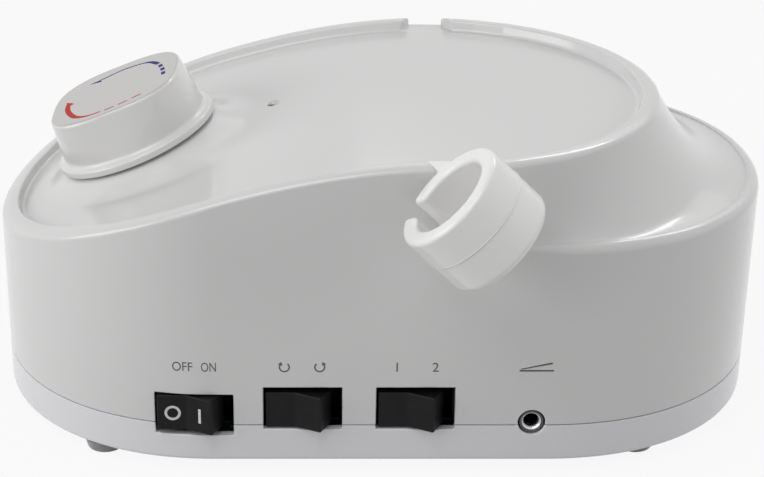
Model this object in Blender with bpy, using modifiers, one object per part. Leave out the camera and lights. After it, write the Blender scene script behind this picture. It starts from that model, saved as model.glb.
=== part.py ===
"""Dental laboratory micromotor: bench control unit with its handpiece holder.

The housing is drawn from its plan. X runs along the front wall to the right, Y from the front
wall to the back and Z up from the table. UNIT_ORIGIN moves that frame to the middle of the base.
"""
import math

import bmesh
import bpy
from mathutils import Matrix, Vector

# Running clearance between neighbouring pieces, and how far a cutter runs past a face
GAP = 0.0003
OVERRUN = 0.002
MERGE = 0.00001

# Housing plan: straight walls joined by a rounded left end and a rounded right end
BODY_DEPTH = 0.1288
FLAT_LEFT = -0.0452
FLAT_RIGHT = 0.0441
LEFT_REACH = 0.0631
RIGHT_REACH = 0.0651
END_FULLNESS = 2.1
TRAY_CENTRE_X = 0.0153
END_STEPS = 9
FLAT_STEPS = 5
SHOULDER_STEPS = 3

# Housing heights and walls
FOOT_HEIGHT = 0.0035
SEAM_HEIGHT = 0.0145
BROW_HEIGHT = 0.0895
LIP_DROP = 0.0224
BROW_X = 0.0186
TRAY_FALL = 0.064
TRAY_WAVE = 0.243
WALL = 0.0026
BASE_EDGE = 0.0012
RIM_WIDTH = 0.0050
RIM_DEPTH = 0.0030
RIM_EDGE = 0.0012
LIP_WIDTH = 0.0025
LIP_FADE_SHARE = 0.05
FLANK_DROP = 0.014
FLANK_CURVE = 2.3
FLANK_SHARES = (0.8, 0.55, 0.3, 0.12)
INNER_FLANK_SHARES = (0.12, 0.4, 0.8)

# Rubber feet and the case screws that pass up through them
FOOT_LEFT_X = -0.0763
FOOT_RIGHT_X = 0.0712
FOOT_INSET = 0.0150
FOOT_RADIUS = 0.0058
FOOT_TAPER = 0.0008
FOOT_BORE = 0.0034
BOSS_RADIUS = 0.0040
SCREW_RADIUS = 0.0015
SCREW_HEAD_RADIUS = 0.0028
SCREW_HEAD_HEIGHT = 0.0018
CASE_SCREW_LENGTH = 0.0160
SCREW_BORE = SCREW_RADIUS + GAP

# Rocker switches behind the front wall
SWITCH_NAMES = ("power", "direction", "control")
WINDOW_CENTRES = (-0.0505, -0.0213, 0.0090)
WINDOW_WIDTH = 0.0212
WINDOW_LOWS = (0.0113, 0.0132, 0.0132)
WINDOW_HIGHS = (0.0237, 0.0259, 0.0259)
ROCKER_HEIGHT = 0.0105
ROCKER_MIDDLES = (0.0181, 0.0190, 0.0190)
ROCKER_PIVOT_Y = 0.0095
ROCKER_FOLD = 0.0094
ROCKER_HALF = 0.0078
ROCKER_TILT = math.radians(13.5)
ROCKER_HUB = 0.0024
ROCKER_NECK = 0.0052
ROCKER_PIN_RADIUS = 0.0012
ROCKER_PIN_LENGTH = 0.0012
SWITCH_FRONT_Y = 0.0056
SWITCH_DEPTH = 0.0135
SWITCH_WIDTH = 0.0236
SWITCH_HIGH = 0.0285
COLLAR_FRONT_Y = 0.0031
COLLAR_WALL = 0.0007
COLLAR_CLEAR = 0.00035

# Foot pedal jack on the seam
JACK_X = 0.0404
JACK_Z = 0.0153
JACK_HOLE = 0.0037
JACK_BUSH_RADIUS = 0.0033
JACK_BORE = 0.0022
JACK_BUSH_FRONT = 0.0005
JACK_BUSH_LENGTH = 0.0040
JACK_BODY_WIDTH = 0.0115
JACK_BODY_DEPTH = 0.0135
JACK_BODY_HEIGHT = 0.0105
JACK_BORE_DEPTH = 0.0110

# Speed knob and the potentiometer under it, all turned about one leaning axis
KNOB_X = -0.0688
KNOB_DROP = 0.0165
KNOB_LEAN = math.radians(22.0)
FLANGE_RADIUS = 0.0239
FLANGE_EDGE = 0.0016
FLANGE_STEP = 0.0012
KNOB_WAIST = 0.0218
KNOB_HEIGHT = 0.0162
KNOB_TOP_ACROSS = 0.0197
KNOB_TOP_DEEP = 0.0204
KNOB_TOP_FULLNESS = 2.9
KNOB_EDGE = 0.0010
KNOB_STEPS = 48
KNOB_RISE_SHARES = (0.0, 0.12, 0.4, 0.7, 1.0)
KNOB_RECESS_RADIUS = 0.0082
KNOB_RECESS_DEPTH = 0.0046
INSERT_RADIUS = 0.0046
INSERT_TOP = 0.0125
SHAFT_RADIUS = 0.0030
SHAFT_FLAT = 0.0022
SHAFT_FLAT_LENGTH = 0.0070
MOUND_HEIGHT = 0.0034
MOUND_TOP_RADIUS = 0.0226
MOUND_FOOT_RADIUS = 0.0258
MOUND_SINK = 0.0019
MOUND_SEAT = 0.0010
KNOB_RUN_GAP = 0.0006
BUSH_RADIUS = 0.0045
NUT_ACROSS = 0.0125
NUT_HEIGHT = 0.0022
POT_RADIUS = 0.0082
POT_HEIGHT = 0.0075
POT_SHAFT_SINK = 0.0035

# Indicator light in the tray floor
LAMP_X = -0.0303
LAMP_Y = 0.0725
LAMP_RADIUS = 0.0015
LAMP_RECESS = 0.0003
LAMP_FLANGE = 0.0026
LAMP_FLANGE_HEIGHT = 0.0010
LED_HEIGHT = 0.0050
LED_RADIUS = 0.0025

# Handpiece holder: a slotted sleeve on a dovetail that drops into the tray rim
HOLDER_X = 0.0139
HOLDER_DROP = 0.0005
HOLDER_STANDOFF = 0.0018
HOLDER_FALL = math.radians(44.3)
HOLDER_TURN = math.radians(5.2)
SLEEVE_RADIUS = 0.01545
SLEEVE_BORE = 0.0108
SLEEVE_LENGTH = 0.02035
SLEEVE_FRONT_EDGE = 0.0008
SLEEVE_REAR_EDGE = 0.0025
SLEEVE_STEPS = 40
SLOT_WIDTH = 0.0057
SLOT_ANGLE = math.radians(221.0)
NOTCH_X = 0.0173
NOTCH_OUTER = 0.0099
NOTCH_INNER = 0.0150
NECK_DROP = 0.0105
NECK_BITE = 0.0024

# Control board on its pillars
BOARD_LEFT = -0.0640
BOARD_RIGHT = 0.0600
BOARD_FRONT = 0.0085
BOARD_CLEAR = 0.0065
BOARD_LOW = 0.0080
BOARD_THICK = 0.0016
PILLAR_RADIUS = 0.0034
BOARD_HOLE_INSET = 0.0055
BOARD_SCREW_LENGTH = 0.0042
CAPACITOR_RADIUS = 0.0090
CAPACITOR_HEIGHT = 0.0300
CAPACITOR_X = 0.0080
CAPACITOR_PITCH = 0.0215
CAPACITOR_GROOVE = 0.0006
RELAY_SIZE = (0.0190, 0.0155, 0.0155)
RELAY_X = -0.0440
CASE_EDGE = 0.0005

# Mains transformer in its strap
CORE_X = -0.0160
CORE_WIDTH = 0.0570
CORE_HEIGHT = 0.0480
CORE_STACK_SHARE = 0.1863
CORE_LEG = 0.0190
CORE_WINDOW = 0.0095
CORE_WINDOW_HEIGHT = 0.0290
COIL_DEPTH_SHARE = 0.3338
STRAP_SHEET = 0.0015
STRAP_WIDTH = 0.0200
STRAP_FOOT = 0.0110
STRAP_SCREW_LENGTH = 0.0034

# Power transistor on its heatsink
HEATSINK_X = 0.0480
HEATSINK_WIDTH = 0.0360
HEATSINK_HEIGHT = 0.0380
HEATSINK_PLATE = 0.0032
HEATSINK_FIN = 0.0180
FIN_COUNT = 6
FIN_THICK = 0.0016
TRANSISTOR_SIZE = (0.0155, 0.0046, 0.0200)
TRANSISTOR_LOW = 0.0190
LEG_SIZE = (0.0012, 0.0008)
LEG_PITCH = 0.0050
TAB_SCREW_UP = 0.0060
TAB_SCREW_LENGTH = 0.0070

# Mains inlet with its fuse drawer, on the back wall
INLET_X = -0.0250
INLET_Z = 0.0350
INLET_BODY = (0.0276, 0.0200, 0.0290)
INLET_EARS_PITCH = 0.0335
INLET_EAR_EDGE = 0.00325
INLET_FLANGE = (INLET_EARS_PITCH + 2 * INLET_EAR_EDGE, 0.0018, 0.0330)
SOCKET_RECESS = (0.0240, 0.0165, 0.0155)
SOCKET_RECESS_UP = 0.0050
SOCKET_CHAMFER = 0.0045
BLADE_SIZE = (0.0020, 0.0120, 0.0040)
BLADE_SPREAD = 0.0070
BLADE_DROP = 0.0020
BLADE_LIFT = 0.0020
DRAWER_SIZE = (0.0240, 0.0150, 0.0078)
DRAWER_DOWN = 0.0088
DRAWER_FACE_PROUD = 0.0014
DRAWER_WALL = 0.0010
FUSE_LENGTH = 0.0200
FUSE_RADIUS = 0.0026
FUSE_CAP = 0.0050
INLET_SCREW_LENGTH = 0.0050

# Handpiece output socket, on the back wall
OUTLET_X = 0.0240
OUTLET_Z = 0.0350
OUTLET_THREAD = 0.0085
OUTLET_FLANGE = 0.0110
OUTLET_FLANGE_THICK = 0.0024
OUTLET_BORE = 0.0068
OUTLET_LENGTH = 0.0140
OUTLET_INSERT_DEPTH = 0.0052
OUTLET_PIN_RADIUS = 0.0009
OUTLET_PIN_CIRCLE = 0.0036
OUTLET_PINS = 5
OUTLET_NUT_ACROSS = 0.0220
OUTLET_NUT_HEIGHT = 0.0030

ROUND_STEPS = 24
SMALL_STEPS = 12

# Worked-out places
HALF_DEPTH = BODY_DEPTH / 2
BODY_LEFT = FLAT_LEFT - LEFT_REACH
BODY_RIGHT = FLAT_RIGHT + RIGHT_REACH
BASE_FLOOR = FOOT_HEIGHT + WALL
BOARD_TOP = BOARD_LOW + BOARD_THICK
SHELL_GAP = GAP / 2
LIP_HEIGHT = BROW_HEIGHT - LIP_DROP
KNOB_Z = BROW_HEIGHT - KNOB_DROP
HOLDER_Z = BROW_HEIGHT - HOLDER_DROP
CORE_STACK = BODY_DEPTH * CORE_STACK_SHARE
COIL_DEPTH = BODY_DEPTH * COIL_DEPTH_SHARE
CORE_Y = BODY_DEPTH - INLET_BODY[1] - GAP - COIL_DEPTH / 2
BOARD_BACK = CORE_Y - COIL_DEPTH / 2 - BOARD_CLEAR
BOARD_ROW_Y = (SWITCH_FRONT_Y + SWITCH_DEPTH + BOARD_BACK) / 2
HOLDER_Y = -SLEEVE_RADIUS - HOLDER_STANDOFF
HOLDER_FRONT = HOLDER_Y - SLEEVE_RADIUS
UNIT_BACK = BODY_DEPTH + GAP + INLET_FLANGE[1] + GAP + SCREW_HEAD_HEIGHT
POT_SEAT = -KNOB_RUN_GAP - MOUND_HEIGHT - WALL - MOUND_SEAT
POT_TOP = POT_SEAT - GAP
UNIT_ORIGIN = Vector(((BODY_LEFT + BODY_RIGHT) / 2, (HOLDER_FRONT + UNIT_BACK) / 2, 0))


def clear_scene():
    for old in list(bpy.data.objects):
        bpy.data.objects.remove(old, do_unlink=True)


def new_collection(name):
    collection = bpy.data.collections.new(name)
    bpy.context.scene.collection.children.link(collection)
    return collection


def finish(name, colour, roughness, metallic=0.0, alpha=1.0):
    """A Principled material with one plain colour."""
    made = bpy.data.materials.new(name)
    made.use_nodes = True
    shader = made.node_tree.nodes["Principled BSDF"]
    shader.inputs["Base Color"].default_value = (*colour, 1.0)
    shader.inputs["Roughness"].default_value = roughness
    shader.inputs["Metallic"].default_value = metallic
    shader.inputs["Alpha"].default_value = alpha
    made.diffuse_color = (*colour, alpha)
    return made


clear_scene()
PARTS = new_collection("dental_lab_micromotor")
CUTTERS = new_collection("cutters")

WHITE_SHELL = finish("white_shell", (0.84, 0.84, 0.83), 0.25)
BASE_WHITE = finish("base_white", (0.82, 0.82, 0.82), 0.3)
HOLDER_WHITE = finish("holder_white", (0.86, 0.86, 0.85), 0.28)
KNOB_WHITE = finish("knob_white", (0.85, 0.85, 0.84), 0.25)
SWITCH_BLACK = finish("switch_black", (0.012, 0.012, 0.013), 0.45)
FOOT_RUBBER = finish("foot_rubber", (0.07, 0.07, 0.075), 0.8)
STEEL = finish("bright_steel", (0.62, 0.62, 0.64), 0.3, 1.0)
BRASS = finish("brass", (0.72, 0.52, 0.22), 0.3, 1.0)
BLACK_MOULDING = finish("black_moulding", (0.02, 0.02, 0.022), 0.5)
LAMP_LENS = finish("lamp_lens", (0.75, 0.8, 0.76), 0.2, 0.0, 0.9)
BOARD_GREEN = finish("board_green", (0.02, 0.16, 0.07), 0.45)
CORE_GREY = finish("core_grey", (0.2, 0.2, 0.22), 0.5, 0.6)
COIL_TAPE = finish("coil_tape", (0.62, 0.42, 0.08), 0.5)
ALUMINIUM = finish("aluminium", (0.72, 0.73, 0.75), 0.35, 1.0)
CAN_BLUE = finish("can_blue", (0.04, 0.07, 0.2), 0.35)
RELAY_BLUE = finish("relay_blue", (0.03, 0.12, 0.4), 0.4)
FUSE_GLASS = finish("fuse_glass", (0.8, 0.85, 0.85), 0.1, 0.0, 0.6)


def empty_at(name, location, parent=None, rotation=None):
    empty = bpy.data.objects.new(name, None)
    empty.location = location
    if rotation is not None:
        empty.rotation_euler = rotation
    empty.parent = parent
    PARTS.objects.link(empty)
    return empty


UNIT = empty_at("unit_frame", -UNIT_ORIGIN)


def add_object(name, mesh, colour, place=(0, 0, 0), parent=UNIT, turn=None):
    """One named piece, set down in its parent's frame."""
    piece = bpy.data.objects.new(name, mesh)
    piece.location = place
    if turn is not None:
        piece.rotation_euler = turn
    piece.parent = parent
    if colour is None:
        CUTTERS.objects.link(piece)
        piece.hide_render = True
        piece.display_type = "WIRE"
        return piece
    PARTS.objects.link(piece)
    mesh.materials.append(colour)
    return piece


def mesh_of(shape, name, smooth_angle=math.radians(35)):
    """Turns a bmesh into a mesh with soft round faces and crisp edges."""
    mesh = bpy.data.meshes.new(name)
    shape.to_mesh(mesh)
    shape.free()
    mesh.shade_smooth()
    mesh.set_sharp_from_angle(angle=smooth_angle)
    return mesh


def bevel(piece, width, segments=2):
    edge = piece.modifiers.new("rounded_edges", "BEVEL")
    edge.width = width
    edge.segments = segments
    edge.limit_method = "ANGLE"
    edge.angle_limit = math.radians(40)


def boolean(piece, other, operation):
    step = piece.modifiers.new(operation.lower() + "_" + other.name, "BOOLEAN")
    step.operation = operation
    step.object = other
    step.solver = "EXACT"


def cut(piece, cutter):
    boolean(piece, cutter, "DIFFERENCE")


def join(piece, other):
    boolean(piece, other, "UNION")


def box(name, low, high, colour=None, parent=UNIT, edge=0):
    """A block between two corners, with its origin in its middle."""
    low = Vector(low)
    high = Vector(high)
    shape = bmesh.new()
    bmesh.ops.create_cube(shape, size=1)
    bmesh.ops.scale(shape, vec=high - low, verts=shape.verts)
    piece = add_object(name, mesh_of(shape, name), colour, (low + high) / 2, parent)
    if edge:
        bevel(piece, edge)
    return piece


def prism(name, outline, low, high, colour=None, parent=UNIT, upright=True):
    """A flat outline given depth: along Z if upright, or else along Y with the outline in X and Z."""
    shape = bmesh.new()
    if upright:
        corners = [(across, other, low) for across, other in outline]
        depth = (0, 0, high - low)
    else:
        corners = [(across, low, other) for across, other in outline]
        depth = (0, high - low, 0)
    face = shape.faces.new([shape.verts.new(corner) for corner in corners])
    grown = bmesh.ops.extrude_face_region(shape, geom=[face])
    moved = [item for item in grown["geom"] if isinstance(item, bmesh.types.BMVert)]
    bmesh.ops.translate(shape, vec=depth, verts=moved)
    bmesh.ops.recalc_face_normals(shape, faces=shape.faces)
    return add_object(name, mesh_of(shape, name), colour, parent=parent)


def rod(name, radius, start, end, colour=None, parent=UNIT, steps=ROUND_STEPS):
    """A round bar between two points."""
    start = Vector(start)
    end = Vector(end)
    along = end - start
    shape = bmesh.new()
    bmesh.ops.create_cone(shape, cap_ends=True, segments=steps, radius1=radius, radius2=radius,
                          depth=along.length)
    turn = along.to_track_quat("Z", "Y").to_euler()
    return add_object(name, mesh_of(shape, name), colour, (start + end) / 2, parent, turn)


def nut(name, across, bore, place, height, colour, parent=UNIT, turn=None):
    """A hexagon nut with its lower face at its origin."""
    corner = across / 2 / math.cos(math.pi / 6)
    shape = bmesh.new()
    bmesh.ops.create_cone(shape, cap_ends=True, segments=6, radius1=corner, radius2=corner,
                          depth=height)
    bmesh.ops.translate(shape, vec=(0, 0, height / 2), verts=shape.verts)
    piece = add_object(name, mesh_of(shape, name), colour, place, parent, turn)
    hole = rod(name + "_bore", bore, (0, 0, -OVERRUN), (0, 0, height + OVERRUN), parent=piece)
    cut(piece, hole)
    return piece


def turned(name, profile, colour=None, place=(0, 0, 0), parent=UNIT, turn=None, steps=ROUND_STEPS,
           closed=False):
    """A turned piece: its profile runs down the outer side and is swept round Z."""
    count = len(profile)
    edges = [(i, i + 1) for i in range(count - 1)]
    if closed:
        edges.append((count - 1, 0))
    mesh = bpy.data.meshes.new(name)
    mesh.from_pydata([(radius, 0, height) for radius, height in profile], edges, [])
    piece = add_object(name, mesh, colour, place, parent, turn)
    sweep = piece.modifiers.new("turning", "SCREW")
    sweep.steps = steps
    sweep.render_steps = steps
    sweep.use_merge_vertices = True
    sweep.merge_threshold = MERGE
    sweep.use_smooth_shade = True
    return piece


def screw(name, place, direction, length, parent=UNIT, head=SCREW_HEAD_RADIUS):
    """A round-headed screw whose head stands on its origin; its shank runs against direction."""
    crown = SCREW_HEAD_HEIGHT
    profile = [(0, crown), (head * 0.6, crown), (head, crown * 0.4), (head, 0), (SCREW_RADIUS, 0),
               (SCREW_RADIUS, -length + SCREW_RADIUS), (0, -length)]
    turn = Vector(direction).to_track_quat("Z", "Y").to_euler()
    piece = turned(name, profile, STEEL, place, parent, turn, SMALL_STEPS)
    slot = box(name + "_slot", (-head - OVERRUN, -SCREW_RADIUS * 0.25, crown * 0.5),
               (head + OVERRUN, SCREW_RADIUS * 0.25, crown + OVERRUN), parent=piece)
    cut(piece, slot)
    return piece


def end_point(centre_x, reach, share, side):
    """A point on a rounded end; share 0 is its tip and 1 is where the straight wall starts."""
    angle = share * math.pi / 2
    power = 2 / END_FULLNESS
    return Vector((centre_x + side * reach * math.cos(angle) ** power,
                   HALF_DEPTH - HALF_DEPTH * math.sin(angle) ** power))


def front_half():
    """Outer wall points along the front, from the left tip to the right tip."""
    points = [end_point(FLAT_LEFT, LEFT_REACH, i / END_STEPS, -1) for i in range(END_STEPS)]
    run = TRAY_CENTRE_X - FLAT_LEFT
    points += [Vector((FLAT_LEFT + run * i / FLAT_STEPS, 0)) for i in range(FLAT_STEPS)]
    run = FLAT_RIGHT - TRAY_CENTRE_X
    points += [Vector((TRAY_CENTRE_X + run * i / SHOULDER_STEPS, 0)) for i in range(SHOULDER_STEPS)]
    points += [end_point(FLAT_RIGHT, RIGHT_REACH, 1 - i / END_STEPS, 1) for i in range(END_STEPS + 1)]
    return points


def rim_point(outer):
    """The tray rim's point beside an outer wall point: a half circle closes its right end."""
    if outer.x <= TRAY_CENTRE_X:
        return outer.copy()
    centre = Vector((TRAY_CENTRE_X, HALF_DEPTH))
    return centre + (outer - centre).normalized() * HALF_DEPTH


def mirrored(points):
    """Closes a front half into a whole outline, mirrored about the middle plane."""
    back = [Vector((p.x, BODY_DEPTH - p.y)) for p in reversed(points[1:-1])]
    return points + back


def inset(outline, distance):
    """The outline moved inwards by a distance, square to its own line."""
    count = len(outline)
    moved = []
    for i, point in enumerate(outline):
        along = outline[(i + 1) % count] - outline[i - 1]
        inward = Vector((-along.y, along.x)).normalized()
        moved.append(point + inward * distance)
    return moved


def rim_height(x):
    """Height of the tray rim: level on the right, and half a wave down to the left."""
    back = max(BROW_X - x, 0)
    return BROW_HEIGHT - TRAY_FALL * (1 - math.cos(math.pi * back / TRAY_WAVE)) / 2


def lip_height(x):
    return min(LIP_HEIGHT, rim_height(x) - FLANK_DROP)


def level_ring(outline, height):
    return [Vector((p.x, p.y, height)) for p in outline]


def rim_ring(outline, depth):
    """A ring that follows the rim's height, lowered by a depth."""
    return [Vector((p.x, p.y, rim_height(p.x) - depth)) for p in outline]


def flank_ring(outer, rim, share, sink=0):
    """A ring on the hollow flank: share 0 lies under the rim and 1 at the lip."""
    ring = []
    for o, r in zip(outer, rim):
        low = lip_height(r.x)
        high = rim_height(r.x) - RIM_EDGE
        place = r + (o - r) * share
        ring.append(Vector((place.x, place.y, low + (high - low) * (1 - share) ** FLANK_CURVE - sink)))
    return ring


def lip_ring(outer, rim):
    """Inner line of the lip on the shoulder; it fades out where the flank meets the wall."""
    ring = []
    for o, r in zip(outer, rim):
        width = min(LIP_WIDTH, (o - r).length / 2)
        place = o + (r - o).normalized() * width if width else o
        fade = (LIP_WIDTH - width) * LIP_FADE_SHARE
        ring.append(Vector((place.x, place.y, lip_height(r.x) + fade)))
    return ring


def plan(ring):
    return [Vector((p.x, p.y)) for p in ring]


def skin(name, rings):
    """Joins rings into one closed body; the first and last are closed by strips front to back."""
    shape = bmesh.new()
    rows = [[shape.verts.new(p) for p in ring] for ring in rings]
    count = len(rings[0])
    for lower, upper in zip(rows, rows[1:]):
        for i in range(count):
            k = (i + 1) % count
            shape.faces.new((lower[i], lower[k], upper[k], upper[i]))
    for row in (rows[0], rows[-1]):
        half = count // 2
        for i in range(half):
            corners = [row[i], row[i + 1], row[(count - i - 1) % count], row[(count - i) % count]]
            shape.faces.new(list(dict.fromkeys(corners)))
    bmesh.ops.recalc_face_normals(shape, faces=shape.faces)
    return mesh_of(shape, name)


def housing_mesh():
    outer = mirrored(front_half())
    rim = [rim_point(p) for p in outer]
    lip = lip_ring(outer, rim)
    lip_plan = plan(lip)
    inner = inset(outer, WALL)
    inner_rim = inset(rim, WALL)
    floor_edge = inset(rim, RIM_WIDTH + RIM_EDGE)
    rings = [rim_ring(inner_rim, RIM_DEPTH + WALL)]
    rings += [flank_ring(inner, inner_rim, share, WALL) for share in INNER_FLANK_SHARES]
    rings += [level_ring(inner, SEAM_HEIGHT + SHELL_GAP), level_ring(outer, SEAM_HEIGHT + SHELL_GAP)]
    rings += [[Vector((o.x, o.y, lip_height(r.x))) for o, r in zip(outer, rim)], lip]
    rings += [flank_ring(lip_plan, rim, share) for share in FLANK_SHARES]
    rings += [rim_ring(rim, RIM_EDGE), rim_ring(inset(rim, RIM_EDGE * 0.3), RIM_EDGE * 0.3)]
    rings += [rim_ring(inset(rim, RIM_EDGE), 0), rim_ring(inset(rim, RIM_WIDTH - RIM_EDGE / 2), 0)]
    rings += [rim_ring(inset(rim, RIM_WIDTH), RIM_EDGE / 2), rim_ring(floor_edge, RIM_DEPTH)]
    return skin("upper_housing", rings)


def base_mesh():
    outer = mirrored(front_half())
    top = SEAM_HEIGHT - SHELL_GAP
    inner = inset(outer, WALL)
    rings = [level_ring(inset(outer, BASE_EDGE), FOOT_HEIGHT)]
    rings += [level_ring(inset(outer, BASE_EDGE * 0.3), FOOT_HEIGHT + BASE_EDGE * 0.3)]
    rings += [level_ring(outer, FOOT_HEIGHT + BASE_EDGE), level_ring(outer, top)]
    rings += [level_ring(inner, top), level_ring(inner, BASE_FLOOR)]
    return skin("base_tray", rings)


def dovetail(name, low, high, outer_y, inner_y, outer_width, inner_width):
    """A prism whose plan widens from outer_y to inner_y."""
    outline = [(NOTCH_X - outer_width / 2, outer_y), (NOTCH_X + outer_width / 2, outer_y),
               (NOTCH_X + inner_width / 2, inner_y), (NOTCH_X - inner_width / 2, inner_y)]
    return prism(name, outline, low, high)


def knob_frame(name):
    """An empty on the knob's axis, at the underside of its flange, leaning with the tray."""
    return empty_at(name, (KNOB_X, HALF_DEPTH, KNOB_Z), UNIT, (0, -KNOB_LEAN, 0))


def foot_places():
    names = ("front_left", "front_right", "rear_left", "rear_right")
    rows = (FOOT_INSET, BODY_DEPTH - FOOT_INSET)
    places = [(x, y) for y in rows for x in (FOOT_LEFT_X, FOOT_RIGHT_X)]
    return list(zip(names, places))


def board_screw_places():
    left = BOARD_LEFT + BOARD_HOLE_INSET
    right = BOARD_RIGHT - BOARD_HOLE_INSET
    front = BOARD_FRONT + SWITCH_DEPTH + BOARD_HOLE_INSET
    back = BOARD_BACK - BOARD_HOLE_INSET
    names = ("front_left", "front_right", "rear_left", "rear_right")
    return list(zip(names, [(left, front), (right, front), (left, back), (right, back)]))


def strap_screw_places():
    reach = CORE_WIDTH / 2 + GAP + STRAP_SHEET + STRAP_FOOT / 2
    return [("left", (CORE_X - reach, CORE_Y)), ("right", (CORE_X + reach, CORE_Y))]


def cut_openings(shell, name):
    """Windows, jack hole and back cut-outs that cross both shells."""
    for x, low, high, switch in zip(WINDOW_CENTRES, WINDOW_LOWS, WINDOW_HIGHS, SWITCH_NAMES):
        window = box(name + "_window_" + switch, (x - WINDOW_WIDTH / 2, -OVERRUN, low),
                     (x + WINDOW_WIDTH / 2, WALL * 2, high))
        cut(shell, window)
    jack = rod(name + "_jack_hole", JACK_HOLE, (JACK_X, -OVERRUN, JACK_Z),
               (JACK_X, WALL + OVERRUN / 2, JACK_Z))
    cut(shell, jack)


def make_boss(name, x, y):
    """A screw boss hung from the tray's underside, sloped with it, or from the right shoulder."""
    low = SEAM_HEIGHT + SHELL_GAP
    shoulder = LIP_HEIGHT - RIM_EDGE / 3
    shape = bmesh.new()
    bmesh.ops.create_cone(shape, cap_ends=True, segments=SMALL_STEPS, radius1=BOSS_RADIUS,
                          radius2=BOSS_RADIUS, depth=WALL)
    for vert in shape.verts:
        if vert.co.z > 0:
            tray = rim_height(x + vert.co.x) - RIM_DEPTH - WALL / 2
            vert.co.z = tray if x < TRAY_CENTRE_X else shoulder
        else:
            vert.co.z = low
    return add_object(name, mesh_of(shape, name), None, (x, y, 0))


def make_upper_housing():
    shell = add_object("upper_housing", housing_mesh(), WHITE_SHELL)
    frame = knob_frame("mound_frame")
    top = -KNOB_RUN_GAP
    floor = top - MOUND_HEIGHT
    mound = turned("knob_mound", [(0, top), (MOUND_TOP_RADIUS, top), (MOUND_FOOT_RADIUS, floor),
                                  (MOUND_FOOT_RADIUS, floor - MOUND_SINK),
                                  (POT_RADIUS, floor - MOUND_SINK), (POT_RADIUS, POT_SEAT),
                                  (0, POT_SEAT)],
                   None, parent=frame, steps=KNOB_STEPS)
    join(shell, mound)
    for corner, (x, y) in foot_places():
        join(shell, make_boss("boss_" + corner, x, y))
        pilot = rod("pilot_" + corner, SCREW_BORE, (x, y, SEAM_HEIGHT - OVERRUN),
                    (x, y, FOOT_HEIGHT + CASE_SCREW_LENGTH + OVERRUN), steps=SMALL_STEPS)
        cut(shell, pilot)
    cut_openings(shell, "upper")
    hole = rod("knob_hole", BUSH_RADIUS + GAP, (0, 0, -POT_RADIUS * 2), (0, 0, OVERRUN), parent=frame)
    cut(shell, hole)
    lamp_top = rim_height(LAMP_X)
    lamp = rod("lamp_hole", LAMP_RADIUS + GAP, (LAMP_X, LAMP_Y, lamp_top - RIM_DEPTH - WALL * 2),
               (LAMP_X, LAMP_Y, lamp_top), steps=SMALL_STEPS)
    cut(shell, lamp)
    low = BROW_HEIGHT - RIM_DEPTH
    depth = RIM_WIDTH + RIM_EDGE
    slope = (NOTCH_INNER - NOTCH_OUTER) / 2 / RIM_WIDTH
    wide = NOTCH_OUTER + 2 * slope * depth
    narrow = NOTCH_OUTER - 2 * slope * OVERRUN
    front = dovetail("front_notch", low, BROW_HEIGHT + OVERRUN, -OVERRUN, depth, narrow, wide)
    back = dovetail("rear_notch", low, BROW_HEIGHT + OVERRUN, BODY_DEPTH + OVERRUN,
                    BODY_DEPTH - depth, narrow, wide)
    cut(shell, front)
    cut(shell, back)
    inlet = box("inlet_cutout", (INLET_X - INLET_BODY[0] / 2 - GAP, BODY_DEPTH - WALL * 2,
                                 INLET_Z - INLET_BODY[2] / 2 - GAP),
                (INLET_X + INLET_BODY[0] / 2 + GAP, BODY_DEPTH + OVERRUN,
                 INLET_Z + INLET_BODY[2] / 2 + GAP))
    cut(shell, inlet)
    for side in (-1, 1):
        x = INLET_X + side * INLET_EARS_PITCH / 2
        cut(shell, rod("ear_hole_%d" % (side + 1), SCREW_BORE, (x, BODY_DEPTH - WALL * 2, INLET_Z),
                       (x, BODY_DEPTH + OVERRUN, INLET_Z), steps=SMALL_STEPS))
    cut(shell, rod("outlet_hole", OUTLET_THREAD + GAP, (OUTLET_X, BODY_DEPTH - WALL * 2, OUTLET_Z),
                   (OUTLET_X, BODY_DEPTH + OVERRUN, OUTLET_Z)))
    return shell


def make_base_tray():
    shell = add_object("base_tray", base_mesh(), BASE_WHITE)
    for corner, (x, y) in board_screw_places():
        pillar = rod("pillar_" + corner, PILLAR_RADIUS, (x, y, BASE_FLOOR - WALL / 2),
                     (x, y, BOARD_LOW - GAP), steps=SMALL_STEPS)
        join(shell, pillar)
        cut(shell, rod("pillar_hole_" + corner, SCREW_BORE,
                       (x, y, BOARD_TOP + GAP - BOARD_SCREW_LENGTH - GAP), (x, y, BOARD_LOW),
                       steps=SMALL_STEPS))
    for side, (x, y) in strap_screw_places():
        top = BASE_FLOOR + GAP + STRAP_SHEET + GAP
        cut(shell, rod("strap_hole_" + side, SCREW_BORE, (x, y, top - STRAP_SCREW_LENGTH - GAP),
                       (x, y, BASE_FLOOR + OVERRUN), steps=SMALL_STEPS))
    for corner, (x, y) in foot_places():
        cut(shell, rod("foot_hole_" + corner, SCREW_BORE, (x, y, 0), (x, y, BASE_FLOOR + OVERRUN),
                       steps=SMALL_STEPS))
    cut_openings(shell, "base")
    return shell


def make_feet():
    """Tapered rubber feet, each round the head of a case screw."""
    step = SCREW_HEAD_HEIGHT / 2
    for corner, (x, y) in foot_places():
        top = FOOT_HEIGHT - GAP
        seat = top - step
        profile = [(SCREW_BORE, top), (FOOT_RADIUS, top), (FOOT_RADIUS - FOOT_TAPER, 0),
                   (FOOT_BORE, 0), (FOOT_BORE, seat), (SCREW_BORE, seat)]
        turned("foot_" + corner, profile, FOOT_RUBBER, (x, y, 0), steps=ROUND_STEPS, closed=True)
        screw("case_screw_" + corner, (x, y, seat - GAP), (0, 0, -1), CASE_SCREW_LENGTH)


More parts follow.
